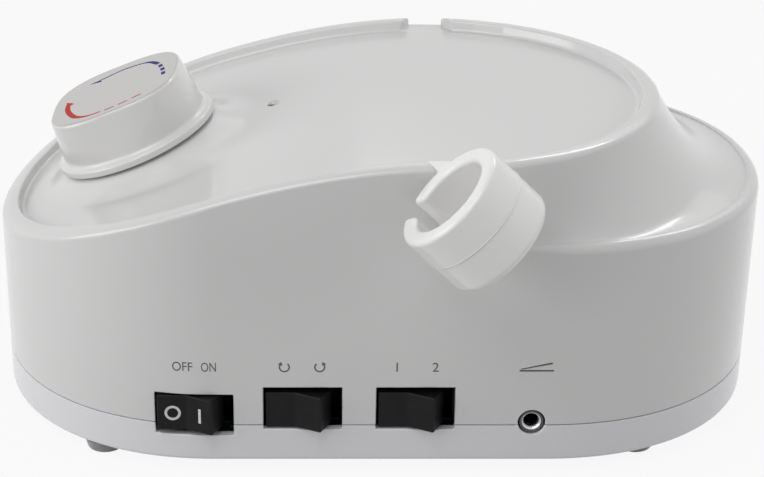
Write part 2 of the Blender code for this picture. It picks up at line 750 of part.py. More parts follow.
def make_holder():
    """The slotted sleeve, falling to the right, with its neck and dovetail."""
    turn = Matrix.Rotation(HOLDER_TURN, 4, "Z") @ Matrix.Rotation(math.pi / 2 + HOLDER_FALL, 4, "Y")
    far = SLEEVE_LENGTH
    soft = SLEEVE_REAR_EDGE
    edge = SLEEVE_FRONT_EDGE
    profile = [(SLEEVE_BORE + edge, 0), (SLEEVE_RADIUS - edge, 0), (SLEEVE_RADIUS, edge)]
    for i in range(4):
        angle = i / 3 * math.pi / 2
        profile.append((SLEEVE_RADIUS - soft + soft * math.cos(angle),
                        far - soft + soft * math.sin(angle)))
    profile += [(SLEEVE_BORE + edge, far), (SLEEVE_BORE, far - edge), (SLEEVE_BORE, edge)]
    profile.reverse()
    sleeve = turned("handpiece_holder", profile, HOLDER_WHITE, (HOLDER_X, HOLDER_Y, HOLDER_Z),
                    turn=turn.to_euler(), steps=SLEEVE_STEPS, closed=True)
    slot_frame = empty_at("slot_frame", (0, 0, 0), sleeve, (0, 0, SLOT_ANGLE - math.pi))
    slot = box("holder_slot", (0, -SLOT_WIDTH / 2, -OVERRUN),
               (SLEEVE_RADIUS + OVERRUN, SLOT_WIDTH / 2, far + OVERRUN), parent=slot_frame)
    bite = -HOLDER_STANDOFF - NECK_BITE
    side = GAP * 1.2
    narrow = NOTCH_OUTER - 2 * side
    floor = BROW_HEIGHT - RIM_DEPTH + GAP
    neck = box("holder_neck", (NOTCH_X - narrow / 2, bite, BROW_HEIGHT - NECK_DROP),
               (NOTCH_X + narrow / 2, -GAP, BROW_HEIGHT))
    tail = dovetail("holder_tail", floor, BROW_HEIGHT, -GAP * 2, RIM_WIDTH - RIM_EDGE / 2, narrow,
                    NOTCH_INNER - 2 * side)
    join(sleeve, neck)
    join(sleeve, tail)
    cut(sleeve, slot)
    return sleeve


def oval_point(long_reach, short_reach, fullness, angle):
    power = 2 / fullness
    c = math.cos(angle)
    s = math.sin(angle)
    return (math.copysign(long_reach * abs(c) ** power, c),
            math.copysign(short_reach * abs(s) ** power, s))


def knob_ring(long_reach, short_reach, fullness, height):
    ring = []
    for i in range(KNOB_STEPS):
        angle = 2 * math.pi * i / KNOB_STEPS
        x, y = oval_point(long_reach, short_reach, fullness, angle)
        ring.append(Vector((x, y, height)))
    return ring


def round_ring(radius, height):
    return knob_ring(radius, radius, 2, height)


def knob_mesh():
    """Flange, waisted round to oblong, with the recess and bore underneath."""
    bore = INSERT_RADIUS + GAP
    bore_top = INSERT_TOP + GAP
    flange_top = FLANGE_EDGE + FLANGE_STEP
    rings = [round_ring(bore, bore_top), round_ring(bore, KNOB_RECESS_DEPTH),
             round_ring(KNOB_RECESS_RADIUS, KNOB_RECESS_DEPTH), round_ring(KNOB_RECESS_RADIUS, 0),
             round_ring(FLANGE_RADIUS - FLANGE_STEP / 4, 0), round_ring(FLANGE_RADIUS, FLANGE_STEP / 4),
             round_ring(FLANGE_RADIUS, FLANGE_EDGE)]
    rise = KNOB_HEIGHT - KNOB_EDGE - flange_top
    for share in KNOB_RISE_SHARES:
        long_reach = KNOB_WAIST + (KNOB_TOP_ACROSS - KNOB_WAIST) * share
        short_reach = KNOB_WAIST + (KNOB_TOP_DEEP - KNOB_WAIST) * share
        fullness = 2 + (KNOB_TOP_FULLNESS - 2) * share
        rings.append(knob_ring(long_reach, short_reach, fullness, flange_top + rise * share))
    for angle in (math.pi / 4, math.pi / 2):
        inward = KNOB_EDGE * (1 - math.cos(angle))
        rings.append(knob_ring(KNOB_TOP_ACROSS - inward, KNOB_TOP_DEEP - inward, KNOB_TOP_FULLNESS,
                               KNOB_HEIGHT - KNOB_EDGE + KNOB_EDGE * math.sin(angle)))
    shape = bmesh.new()
    rows = [[shape.verts.new(p) for p in ring] for ring in rings]
    for lower, upper in zip(rows, rows[1:]):
        for i in range(KNOB_STEPS):
            k = (i + 1) % KNOB_STEPS
            shape.faces.new((lower[i], lower[k], upper[k], upper[i]))
    shape.faces.new(rows[0])
    shape.faces.new(rows[-1])
    bmesh.ops.recalc_face_normals(shape, faces=shape.faces)
    return mesh_of(shape, "speed_knob")


def make_knob():
    frame = knob_frame("knob_axis")
    add_object("speed_knob", knob_mesh(), KNOB_WHITE, parent=frame)
    bore = SHAFT_RADIUS + GAP
    low = KNOB_RECESS_DEPTH
    turned("knob_insert", [(bore, INSERT_TOP), (INSERT_RADIUS, INSERT_TOP), (INSERT_RADIUS, low),
                           (bore, low)], BRASS, parent=frame, closed=True)
    shaft = rod("pot_shaft", SHAFT_RADIUS, (0, 0, POT_TOP - POT_SHAFT_SINK + GAP),
                (0, 0, INSERT_TOP - GAP), STEEL, frame)
    flat = box("shaft_flat", (SHAFT_FLAT, -SHAFT_RADIUS - OVERRUN, INSERT_TOP - SHAFT_FLAT_LENGTH),
               (SHAFT_RADIUS + OVERRUN, SHAFT_RADIUS + OVERRUN, INSERT_TOP + OVERRUN), parent=frame)
    flat.parent = shaft
    flat.location.z -= shaft.location.z
    cut(shaft, flat)


def make_potentiometer():
    frame = knob_frame("pot_frame")
    mound_top = -KNOB_RUN_GAP
    bore = SHAFT_RADIUS + GAP
    bush_top = mound_top + GAP + NUT_HEIGHT + GAP
    turned("pot_bush", [(bore, bush_top), (BUSH_RADIUS, bush_top), (BUSH_RADIUS, POT_TOP + GAP),
                        (bore, POT_TOP + GAP)], BRASS, parent=frame, closed=True)
    nut("pot_nut", NUT_ACROSS, BUSH_RADIUS + GAP, (0, 0, mound_top + GAP), NUT_HEIGHT, STEEL, frame)
    sink = POT_TOP - POT_SHAFT_SINK
    low = POT_TOP - POT_HEIGHT
    turned("pot_body", [(bore, POT_TOP), (POT_RADIUS, POT_TOP), (POT_RADIUS, low), (0, low),
                        (0, sink), (bore, sink)], STEEL, parent=frame, closed=True)


def make_rocker(index, switch):
    """A folded rocker with pins at top and bottom, resting with its left half pressed."""
    axis = empty_at("rocker_axis_" + switch,
                    (WINDOW_CENTRES[index], ROCKER_PIVOT_Y, ROCKER_MIDDLES[index]), UNIT,
                    (0, 0, -ROCKER_TILT))
    tip_x = ROCKER_HALF * math.cos(ROCKER_TILT)
    tip_y = -ROCKER_FOLD - ROCKER_HALF * math.sin(ROCKER_TILT)
    side = [(tip_x, tip_y), (ROCKER_NECK, 0), (ROCKER_HUB, ROCKER_HUB)]
    outline = [(0, -ROCKER_FOLD)] + side + [(-px, py) for px, py in reversed(side)]
    half = ROCKER_HEIGHT / 2
    rocker = prism("rocker_" + switch, outline, -half, half, SWITCH_BLACK, axis)
    pin = rod("rocker_pin_" + switch, ROCKER_PIN_RADIUS, (0, 0, -half - ROCKER_PIN_LENGTH),
              (0, 0, half + ROCKER_PIN_LENGTH), parent=axis, steps=SMALL_STEPS)
    join(rocker, pin)


def make_switch_body(index, switch):
    """The switch case on the board; two cheeks on its front line the sides of the window."""
    x = WINDOW_CENTRES[index]
    middle = ROCKER_MIDDLES[index]
    body = box("switch_body_" + switch, (x - SWITCH_WIDTH / 2, SWITCH_FRONT_Y, BOARD_TOP + GAP),
               (x + SWITCH_WIDTH / 2, SWITCH_FRONT_Y + SWITCH_DEPTH, SWITCH_HIGH), SWITCH_BLACK)
    out = WINDOW_WIDTH / 2 - COLLAR_CLEAR
    low = WINDOW_LOWS[index] + COLLAR_CLEAR
    high = WINDOW_HIGHS[index] - COLLAR_CLEAR
    collar = box("collar_" + switch, (x - out, COLLAR_FRONT_Y, low),
                 (x + out, SWITCH_FRONT_Y + COLLAR_WALL, high))
    join(body, collar)
    room = ROCKER_HEIGHT / 2 + GAP
    inner = out - COLLAR_WALL
    mouth = box("mouth_" + switch, (x - inner, COLLAR_FRONT_Y - OVERRUN, low - OVERRUN),
                (x + inner, SWITCH_FRONT_Y, high + OVERRUN))
    cut(body, mouth)
    cave = box("cave_" + switch, (x - inner, SWITCH_FRONT_Y - OVERRUN / 2, middle - room),
               (x + inner, ROCKER_PIVOT_Y + ROCKER_HUB * 2, middle + room))
    cut(body, cave)
    reach = ROCKER_HEIGHT / 2 + ROCKER_PIN_LENGTH + GAP
    cut(body, rod("pivot_" + switch, ROCKER_PIN_RADIUS + GAP,
                  (x, ROCKER_PIVOT_Y, middle - reach), (x, ROCKER_PIVOT_Y, middle + reach),
                  steps=SMALL_STEPS))


def make_jack():
    turn = (math.pi / 2, 0, 0)
    back = JACK_BUSH_FRONT + JACK_BUSH_LENGTH
    flare = (JACK_BUSH_RADIUS - JACK_BORE) / 2
    turned("jack_bush", [(JACK_BORE + flare, -JACK_BUSH_FRONT), (JACK_BUSH_RADIUS, -JACK_BUSH_FRONT),
                         (JACK_BUSH_RADIUS, -back), (JACK_BORE, -back),
                         (JACK_BORE, -JACK_BUSH_FRONT - flare)],
           STEEL, (JACK_X, 0, JACK_Z), turn=turn, closed=True)
    front = back + GAP
    body = box("jack_body", (JACK_X - JACK_BODY_WIDTH / 2, front, BOARD_TOP + GAP),
               (JACK_X + JACK_BODY_WIDTH / 2, front + JACK_BODY_DEPTH,
                BOARD_TOP + GAP + JACK_BODY_HEIGHT), BLACK_MOULDING)
    cut(body, rod("jack_bore", JACK_BORE, (JACK_X, front - OVERRUN, JACK_Z),
                  (JACK_X, front + JACK_BORE_DEPTH, JACK_Z)))


def make_indicator():
    """A light pipe pressed up into the tray floor, with its lamp below."""
    floor = rim_height(LAMP_X) - RIM_DEPTH
    under = rim_height(LAMP_X - LAMP_FLANGE) - RIM_DEPTH - WALL - 2 * GAP
    low = under - LAMP_FLANGE_HEIGHT
    turned("indicator_lens", [(0, floor - LAMP_RECESS), (LAMP_RADIUS, floor - LAMP_RECESS),
                              (LAMP_RADIUS, under), (LAMP_FLANGE, under), (LAMP_FLANGE, low),
                              (0, low)], LAMP_LENS, (LAMP_X, LAMP_Y, 0), steps=SMALL_STEPS)
    top = low - GAP
    turned("indicator_lamp", [(0, top), (LED_RADIUS * 0.7, top), (LED_RADIUS, top - LED_RADIUS / 2),
                              (LED_RADIUS, top - LED_HEIGHT), (0, top - LED_HEIGHT)],
           BLACK_MOULDING, (LAMP_X, LAMP_Y, 0), steps=SMALL_STEPS)


def make_board():
    board = box("control_board", (BOARD_LEFT, BOARD_FRONT, BOARD_LOW),
                (BOARD_RIGHT, BOARD_BACK, BOARD_TOP), BOARD_GREEN)
    for corner, (x, y) in board_screw_places():
        cut(board, rod("board_hole_" + corner, SCREW_BORE, (x, y, BOARD_LOW - OVERRUN),
                       (x, y, BOARD_TOP + OVERRUN), steps=SMALL_STEPS))
        screw("board_screw_" + corner, (x, y, BOARD_TOP + GAP), (0, 0, 1), BOARD_SCREW_LENGTH)
    low = BOARD_TOP + GAP
    for index, name in enumerate(("capacitor_left", "capacitor_right")):
        x = CAPACITOR_X + (index - 1) * CAPACITOR_PITCH
        r = CAPACITOR_RADIUS
        g = CAPACITOR_GROOVE
        h = CAPACITOR_HEIGHT
        turned(name, [(0, h), (r - g, h), (r, h - g), (r, 5 * g), (r - g, 4 * g), (r - g, 3 * g),
                      (r, 2 * g), (r, 0), (0, 0)], CAN_BLUE, (x, BOARD_ROW_Y, low))
    size = RELAY_SIZE
    box("relay", (RELAY_X - size[0] / 2, BOARD_ROW_Y - size[1] / 2, low),
        (RELAY_X + size[0] / 2, BOARD_ROW_Y + size[1] / 2, low + size[2]), RELAY_BLUE, edge=CASE_EDGE)


def make_transformer():
    low = BASE_FLOOR + GAP
    middle = low + CORE_HEIGHT / 2
    half = CORE_STACK / 2
    core = box("transformer_core", (CORE_X - CORE_WIDTH / 2, CORE_Y - half, low),
               (CORE_X + CORE_WIDTH / 2, CORE_Y + half, low + CORE_HEIGHT), CORE_GREY)
    for side in (-1, 1):
        x = CORE_X + side * (CORE_LEG + CORE_WINDOW) / 2
        cut(core, box("core_window_%d" % (side + 1),
                      (x - CORE_WINDOW / 2, CORE_Y - half - OVERRUN, middle - CORE_WINDOW_HEIGHT / 2),
                      (x + CORE_WINDOW / 2, CORE_Y + half + OVERRUN,
                       middle + CORE_WINDOW_HEIGHT / 2)))
    wide = CORE_LEG / 2 + CORE_WINDOW - GAP
    tall = CORE_WINDOW_HEIGHT / 2 - GAP
    coil = box("transformer_winding", (CORE_X - wide, CORE_Y - COIL_DEPTH / 2, middle - tall),
               (CORE_X + wide, CORE_Y + COIL_DEPTH / 2, middle + tall), COIL_TAPE)
    leg = CORE_LEG / 2 + GAP
    cut(coil, box("coil_hole", (CORE_X - leg, CORE_Y - half - GAP, middle - tall - OVERRUN),
                  (CORE_X + leg, CORE_Y + half + GAP, middle + tall + OVERRUN)))
    inside = CORE_WIDTH / 2 + GAP
    outside = inside + STRAP_SHEET
    top = low + CORE_HEIGHT + GAP
    wide = STRAP_WIDTH / 2
    strap = box("transformer_strap", (CORE_X - outside - STRAP_FOOT, CORE_Y - wide, low),
                (CORE_X + outside + STRAP_FOOT, CORE_Y + wide, low + STRAP_SHEET), STEEL)
    arch = box("strap_arch", (CORE_X - outside, CORE_Y - wide, low),
               (CORE_X + outside, CORE_Y + wide, top + STRAP_SHEET))
    join(strap, arch)
    cut(strap, box("strap_inside", (CORE_X - inside, CORE_Y - wide - OVERRUN, low - OVERRUN),
                   (CORE_X + inside, CORE_Y + wide + OVERRUN, top)))
    for side, (x, y) in strap_screw_places():
        cut(strap, rod("strap_foot_hole_" + side, SCREW_BORE, (x, y, low - OVERRUN),
                       (x, y, low + STRAP_SHEET + OVERRUN), steps=SMALL_STEPS))
        screw("transformer_screw_" + side, (x, y, low + STRAP_SHEET + GAP), (0, 0, 1),
              STRAP_SCREW_LENGTH)


def make_heatsink():
    front = BOARD_BACK + GAP * 2
    low = BASE_FLOOR + GAP
    left = HEATSINK_X - HEATSINK_WIDTH / 2
    back = front + HEATSINK_PLATE
    pitch = (HEATSINK_WIDTH - FIN_THICK) / (FIN_COUNT - 1)
    outline = [(left, front), (left + HEATSINK_WIDTH, front)]
    for i in reversed(range(FIN_COUNT)):
        x = left + pitch * i
        outline += [(x + FIN_THICK, back), (x + FIN_THICK, back + HEATSINK_FIN),
                    (x, back + HEATSINK_FIN), (x, back)]
    outline = outline[:2] + outline[3:-1]
    sink = prism("heatsink", outline, low, low + HEATSINK_HEIGHT, ALUMINIUM)
    wide, thick, tall = TRANSISTOR_SIZE
    back = front - GAP
    body = box("power_transistor", (HEATSINK_X - wide / 2, back - thick, TRANSISTOR_LOW),
               (HEATSINK_X + wide / 2, back, TRANSISTOR_LOW + tall), BLACK_MOULDING)
    for i in (-1, 0, 1):
        x = HEATSINK_X + LEG_PITCH * i
        y = back - thick / 2
        join(body, box("transistor_leg_%d" % (i + 1), (x - LEG_SIZE[0] / 2, y - LEG_SIZE[1] / 2,
                                                      BOARD_TOP + GAP),
                       (x + LEG_SIZE[0] / 2, y + LEG_SIZE[1] / 2, TRANSISTOR_LOW + thick / 2)))
    hole_z = TRANSISTOR_LOW + tall - TAB_SCREW_UP
    far = back - thick - GAP + TAB_SCREW_LENGTH + GAP
    for piece, name in ((body, "tab_hole"), (sink, "sink_hole")):
        cut(piece, rod(name, SCREW_BORE, (HEATSINK_X, back - thick - OVERRUN, hole_z),
                       (HEATSINK_X, far, hole_z), steps=SMALL_STEPS))
    screw("transistor_screw", (HEATSINK_X, back - thick - GAP, hole_z), (0, -1, 0), TAB_SCREW_LENGTH)


def make_inlet():
    """Mains inlet: flange on the back wall, keyed recess with three blades, drawer slot below."""
    wall = BODY_DEPTH + GAP
    out = wall + INLET_FLANGE[1]
    inlet = box("mains_inlet", (INLET_X - INLET_FLANGE[0] / 2, wall, INLET_Z - INLET_FLANGE[2] / 2),
                (INLET_X + INLET_FLANGE[0] / 2, out, INLET_Z + INLET_FLANGE[2] / 2), BLACK_MOULDING)
    body = box("inlet_body", (INLET_X - INLET_BODY[0] / 2, wall - INLET_BODY[1],
                              INLET_Z - INLET_BODY[2] / 2),
               (INLET_X + INLET_BODY[0] / 2, wall + GAP, INLET_Z + INLET_BODY[2] / 2))
    join(inlet, body)
    wide, deep, tall = SOCKET_RECESS
    middle = INLET_Z + SOCKET_RECESS_UP
    corner = SOCKET_CHAMFER
    outline = [(-wide / 2, -tall / 2), (wide / 2, -tall / 2), (wide / 2, tall / 2 - corner),
               (wide / 2 - corner, tall / 2), (-wide / 2 + corner, tall / 2),
               (-wide / 2, tall / 2 - corner)]
    placed = [(INLET_X + x, middle + z) for x, z in outline]
    cut(inlet, prism("socket_recess", placed, out - deep, out + OVERRUN, upright=False))
    width, length, height = DRAWER_SIZE
    drawer_z = INLET_Z - DRAWER_DOWN
    slot = box("drawer_slot", (INLET_X - width / 2 - GAP, out - length - GAP,
                               drawer_z - height / 2 - GAP),
               (INLET_X + width / 2 + GAP, out + OVERRUN, drawer_z + height / 2 + GAP))
    cut(inlet, slot)
    for side in (-1, 1):
        x = INLET_X + side * INLET_EARS_PITCH / 2
        cut(inlet, rod("flange_hole_%d" % (side + 1), SCREW_BORE, (x, wall - OVERRUN, INLET_Z),
                       (x, out + OVERRUN, INLET_Z), steps=SMALL_STEPS))
    screw("inlet_screw_left", (INLET_X - INLET_EARS_PITCH / 2, out + GAP, INLET_Z), (0, 1, 0),
          INLET_SCREW_LENGTH)
    screw("inlet_screw_right", (INLET_X + INLET_EARS_PITCH / 2, out + GAP, INLET_Z), (0, 1, 0),
          INLET_SCREW_LENGTH)
    make_blades(out - deep + GAP, middle)
    make_fuse_drawer(out, drawer_z)


def make_blades(back, middle):
    places = {"line": (-BLADE_SPREAD, -BLADE_DROP), "neutral": (BLADE_SPREAD, -BLADE_DROP),
              "earth": (0, BLADE_LIFT)}
    for name, (dx, dz) in places.items():
        x = INLET_X + dx
        z = middle + dz
        box("inlet_blade_" + name, (x - BLADE_SIZE[0] / 2, back, z - BLADE_SIZE[2] / 2),
            (x + BLADE_SIZE[0] / 2, back + BLADE_SIZE[1], z + BLADE_SIZE[2] / 2), BRASS)


def make_fuse_drawer(out, drawer_z):
    width, length, height = DRAWER_SIZE
    drawer = box("fuse_drawer", (INLET_X - width / 2, out - length, drawer_z - height / 2),
                 (INLET_X + width / 2, out + DRAWER_FACE_PROUD, drawer_z + height / 2),
                 BLACK_MOULDING)
    bed_back = out - length + DRAWER_WALL
    bed_front = bed_back + 2 * FUSE_RADIUS + 2 * GAP
    half = FUSE_LENGTH / 2 + GAP
    bed_low = drawer_z - height / 2 + DRAWER_WALL
    cut(drawer, box("fuse_bed", (INLET_X - half, bed_back, bed_low),
                    (INLET_X + half, bed_front, drawer_z + height / 2 + OVERRUN)))
    fuse_y = (bed_back + bed_front) / 2
    fuse_z = bed_low + GAP + FUSE_RADIUS
    tube = FUSE_RADIUS - GAP
    r = FUSE_RADIUS
    half = FUSE_LENGTH / 2
    neck = half - FUSE_CAP
    turned("fuse", [(0, half), (r, half), (r, neck), (tube, neck), (tube, -neck), (r, -neck),
                    (r, -half), (0, -half)], FUSE_GLASS, (INLET_X, fuse_y, fuse_z),
           turn=(0, math.pi / 2, 0), steps=SMALL_STEPS)


def make_outlet():
    """Handpiece socket: threaded shell through the back wall, pin insert and ring nut."""
    turn = (-math.pi / 2, 0, 0)
    place = (OUTLET_X, BODY_DEPTH, OUTLET_Z)
    top = GAP + OUTLET_FLANGE_THICK
    low = top - OUTLET_LENGTH
    shell = turned("outlet_shell", [(OUTLET_BORE, top), (OUTLET_FLANGE, top), (OUTLET_FLANGE, GAP),
                                    (OUTLET_THREAD, GAP), (OUTLET_THREAD, low), (OUTLET_BORE, low)],
                   STEEL, place, turn=turn, closed=True)
    face = top - OUTLET_INSERT_DEPTH
    insert = turned("outlet_insert", [(0, face), (OUTLET_BORE - GAP, face), (OUTLET_BORE - GAP, low),
                                      (0, low)], BLACK_MOULDING, place, turn=turn)
    for i in range(OUTLET_PINS):
        angle = 2 * math.pi * i / OUTLET_PINS
        x = OUTLET_PIN_CIRCLE * math.cos(angle)
        y = OUTLET_PIN_CIRCLE * math.sin(angle)
        cut(insert, rod("pin_hole_%d" % i, OUTLET_PIN_RADIUS, (x, y, face - OUTLET_INSERT_DEPTH),
                        (x, y, face + OVERRUN), parent=insert, steps=SMALL_STEPS))
    nut("outlet_nut", OUTLET_NUT_ACROSS, OUTLET_THREAD + GAP,
        (OUTLET_X, BODY_DEPTH - WALL - GAP - OUTLET_NUT_HEIGHT, OUTLET_Z), OUTLET_NUT_HEIGHT, STEEL,
        turn=turn)
    return shell


make_upper_housing()
make_base_tray()
make_feet()
make_holder()
make_knob()
make_potentiometer()
for switch_index, switch_name in enumerate(SWITCH_NAMES):
    make_switch_body(switch_index, switch_name)
    make_rocker(switch_index, switch_name)
make_jack()
make_indicator()
make_board()
make_transformer()
make_heatsink()
make_inlet()
make_outlet()
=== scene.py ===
"""Dental lab micromotor: the bench control unit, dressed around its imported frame.

Lengths are in metres. Pieces are drawn in the unit's plan, where X runs along the front wall to
the right, Y from the front wall to the back and Z up from the table, and are then set down on the
frame by SHIFT.
"""
import math

import bmesh
import bpy
from mathutils import Matrix, Vector


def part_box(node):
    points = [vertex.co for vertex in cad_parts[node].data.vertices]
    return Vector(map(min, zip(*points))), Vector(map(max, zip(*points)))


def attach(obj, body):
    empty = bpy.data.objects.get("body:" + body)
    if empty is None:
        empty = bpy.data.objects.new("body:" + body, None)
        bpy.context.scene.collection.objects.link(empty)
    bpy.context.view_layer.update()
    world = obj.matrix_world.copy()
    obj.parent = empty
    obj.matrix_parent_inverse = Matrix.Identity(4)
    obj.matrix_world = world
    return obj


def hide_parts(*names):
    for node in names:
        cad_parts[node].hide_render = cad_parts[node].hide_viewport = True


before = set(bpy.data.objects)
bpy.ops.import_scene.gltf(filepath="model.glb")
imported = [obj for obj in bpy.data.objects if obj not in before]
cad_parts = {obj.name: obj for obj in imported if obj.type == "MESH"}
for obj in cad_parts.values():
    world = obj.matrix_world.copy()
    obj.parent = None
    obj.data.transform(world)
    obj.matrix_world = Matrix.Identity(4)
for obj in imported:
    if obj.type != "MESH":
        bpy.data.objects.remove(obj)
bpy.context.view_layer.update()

bl_info = {
    "name": "Lab Micromotor Control Unit",
    "version": (1, 0, 0),
    "blender": (4, 5, 0),
    "location": "3D View > Sidebar > Micromotor",
    "description": "Dresses the packed control unit with its visible mouldings, finishes and stage",
    "category": "Add Mesh",
}

# Plan and heights of the housing, the same rules as in the part's source
GAP = 0.0003
SHELL_LOW, SHELL_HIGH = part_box("upper_housing")
BODY_DEPTH = SHELL_HIGH.y - SHELL_LOW.y
HALF_DEPTH = BODY_DEPTH / 2
FLAT_LEFT = -0.0452
FLAT_RIGHT = 0.0441
LEFT_REACH = 0.0631
RIGHT_REACH = 0.0651
END_FULLNESS = 2.1
TRAY_CENTRE_X = 0.0153
FOOT_HEIGHT = 0.0035
SEAM_HEIGHT = 0.0145
LIP_HEIGHT = 0.0671
BROW_HEIGHT = SHELL_HIGH.z
BROW_X = 0.0186
TRAY_FALL = 0.064
TRAY_WAVE = 0.243
WALL = 0.0026
BASE_EDGE = 0.0012
SEAM_EDGE = 0.00014
RIM_WIDTH = 0.0050
RIM_DEPTH = 0.0030
RIM_SPREAD = 1.8
LIP_WIDTH = 0.0036
LIP_FADE_SHARE = 0.05
FLANK_DROP = 0.014
FLANK_CURVE = 2.3
SHIFT = Vector((SHELL_LOW.x - FLAT_LEFT + LEFT_REACH, SHELL_LOW.y, 0))

# Openings in the walls
SWITCHES = ("power", "direction", "control")
WINDOW_CENTRES = (-0.0505, -0.0213, 0.0090)
WINDOW_WIDTH = 0.0212
WINDOW_LOWS = (0.0113, 0.0132, 0.0132)
WINDOW_HIGHS = (0.0237, 0.0259, 0.0259)
ROCKER_MIDDLES = (0.0181, 0.0190, 0.0190)
ROCKER_HEIGHT = 0.0105
ROCKER_PIVOT_Y = 0.0095
ROCKER_FOLD = 0.0094
ROCKER_HALF = 0.0078
ROCKER_HUB = 0.0024
ROCKER_FLARE = 0.0068
ROCKER_BACK = (0.0074, -0.0014)
ROCKER_TILT = math.radians(13.5)
JACK = Vector((0.0404, 0, 0.0153))
JACK_HOLE = 0.0037
LABELS_LOW = 0.0308
NOTCH_X = 0.0173
NOTCH_OUTER = 0.0099
NOTCH_INNER = 0.0150
NOTCH_RUN_OUT = 0.0017
LAMP = Vector((-0.0303, 0.0725, 0))
INLET = Vector((-0.0250, BODY_DEPTH, 0.0350))
INLET_BODY = (0.0276, 0.0290)
EARS_PITCH = 0.0335
OUTLET = Vector((0.0240, BODY_DEPTH, 0.0350))
OUTLET_THREAD = 0.0085
OUTLET_FLANGE = 0.0110
OUTLET_BORE = 0.0068
OUTLET_LENGTH = 0.0140
OUTLET_COLLAR = 0.0024
FEET_X = (-0.0763, 0.0712)
FOOT_INSET = 0.0150
SCREW_RADIUS = 0.0015
SCREW_CROWN = 0.0018
BOSS_RADIUS = 0.0040
BOSS_HOLE_TOP = 0.0215
PILLAR_RADIUS = 0.0034
FOOT_HOLE_TOP = 0.0075

# The knob's leaning frame, with its origin under the flange, and the holder's sleeve frame
KNOB_FRAME = Matrix.Translation((-0.0688, HALF_DEPTH, 0.0730)) @ Matrix.Rotation(
    -math.radians(22.0), 4, "Y")
FLANGE_RADIUS = 0.0239
KNOB_WAIST = 0.0218
KNOB_HEIGHT = 0.0162
MOUND_TOP = -0.0006
MOUND_TOP_RADIUS = 0.0226
MOUND_FOOT_RADIUS = 0.0272
MOUND_HEIGHT = 0.0034
BUSH_HOLE = 0.0048
BUSH_DEPTH = 0.0164
SLEEVE_FRAME = Matrix.Translation((0.0139, -0.01725, 0.0890)) @ Matrix.Rotation(
    math.radians(5.2), 4, "Z") @ Matrix.Rotation(math.radians(134.3), 4, "Y")
SLEEVE_RADIUS = 0.01542
SLEEVE_BORE = 0.0108
SLEEVE_LENGTH = 0.02035
SLOT_WIDTH = 0.0057
SLOT_ANGLE = math.radians(41.0)

# The camera that took the photograph, with its picture's width and offset in pixels
CAMERA_PLACE = Vector((-0.02177, -0.4378, 0.26454))
CAMERA_TILT = math.radians(66)
PHOTO_WIDTH = 764
PHOTO_OFFSET = 81

# Soft boxes: name, place, what it is aimed at, width and height
LAMPS = (("key", (0.22, 0.50, 0.54), (0.03, 0.0, 0.08), 0.70, 0.40),
         ("glint", (0.30, 0.42, 0.58), (0.07, -0.02, 0.07), 0.30, 0.07),
         ("top", (-0.24, -0.28, 0.62), (-0.06, -0.02, 0.06), 0.4, 0.4),
         ("left", (-1.00, -0.42, 0.38), (-0.05, 0.0, 0.05), 1.0, 0.6),
         ("right", (1.00, -0.15, 0.38), (0.06, 0.0, 0.05), 0.9, 0.6))

# How finely the lofts are drawn, and how far a cutter reaches past a face
END_STEPS = 84
FLAT_STEPS = 56
SHOULDER_STEPS = 26
FLANK_STEPS = 20
FLOOR_STEPS = 112
ARC_STEPS = 5
WELD = 0.000008
INK = 0.00003
PAST = 0.002


def length(name, description, default):
    return bpy.props.FloatProperty(name=name, description=description, default=default,
                                   min=0.00005, unit="LENGTH")


def colour(name, description, *default):
    return bpy.props.FloatVectorProperty(name=name, description=description, default=default,
                                         subtype="COLOR", size=3, min=0, max=1)


def power(name, description, default):
    return bpy.props.FloatProperty(name=name, description=description, default=default, min=0,
                                   unit="POWER")


def factor(name, description, default):
    return bpy.props.FloatProperty(name=name, description=description, default=default, min=0,
                                   max=1, subtype="FACTOR")


class ShellSettings(bpy.types.PropertyGroup):
    """Roundings of the two white shells."""
    rim_round: length("Rim Rounding", "Radius of the tray rim's outer edge", 0.0016)
    rim_inner_round: length("Rim Inner Rounding", "Radius of the rim's edge above the tray", 0.0008)
    floor_fillet: length("Floor Fillet", "Radius where the tray floor meets the rim", 0.0012)
    lip_round: length("Lip Rounding", "Radius of the shoulder lip's outer edge", 0.0026)
    lip_step: length("Lip Step", "How far the shoulder lies below its lip", 0.0004)
    opening_round: length("Opening Rounding", "Radius round windows and holes", 0.00034)
    notch_round: length("Notch Rounding", "Radius round the two notches of the rim", 0.00018)
    mound_blend: length("Mound Blend", "Softness where the knob's mound rises", 0.0046)


class KnobSettings(bpy.types.PropertyGroup):
    """Form of the speed knob."""
    across: length("Top Half Width", "Half the cap's width across the unit", 0.0197)
    deep: length("Top Half Depth", "Half the cap's width front to back", 0.0204)
    edge_round: length("Cap Rounding", "Radius of the cap's top edge", 0.0010)
    waist_fillet: length("Waist Fillet", "Hollow radius between the wall and the flange", 0.0013)
    fullness: bpy.props.FloatProperty(
        name="Top Fullness", description="2 is round, and more is squarer", default=2.9, min=2.0)
    steps: bpy.props.IntProperty(
        name="Steps Round", description="Facets round the knob", default=160, min=24)


class HolderSettings(bpy.types.PropertyGroup):
    """Form of the handpiece holder."""
    front_round: length("Front Rounding", "Radius of the mouth's edges", 0.0014)
    rear_round: length("Rear Rounding", "Radius of the sleeve's rear edge", 0.0025)
    slot_round: length("Slot Rounding", "Radius of the two ends beside the slot", 0.0013)
    parting: length("Parting Line", "Distance of the moulding line from the mouth", 0.0095)


class SwitchSettings(bpy.types.PropertyGroup):
    """Rockers and their marks."""
    rocker_round: length("Rocker Rounding", "Radius of the rockers' edges", 0.0004)
    ring_radius: length("Ring Radius", "Outer radius of the off mark", 0.0022)
    stroke: length("Mark Stroke", "Line width of the marks on the rockers", 0.0007)
    letter_height: length("Letter Height", "Height of the words above the switches", 0.0027)


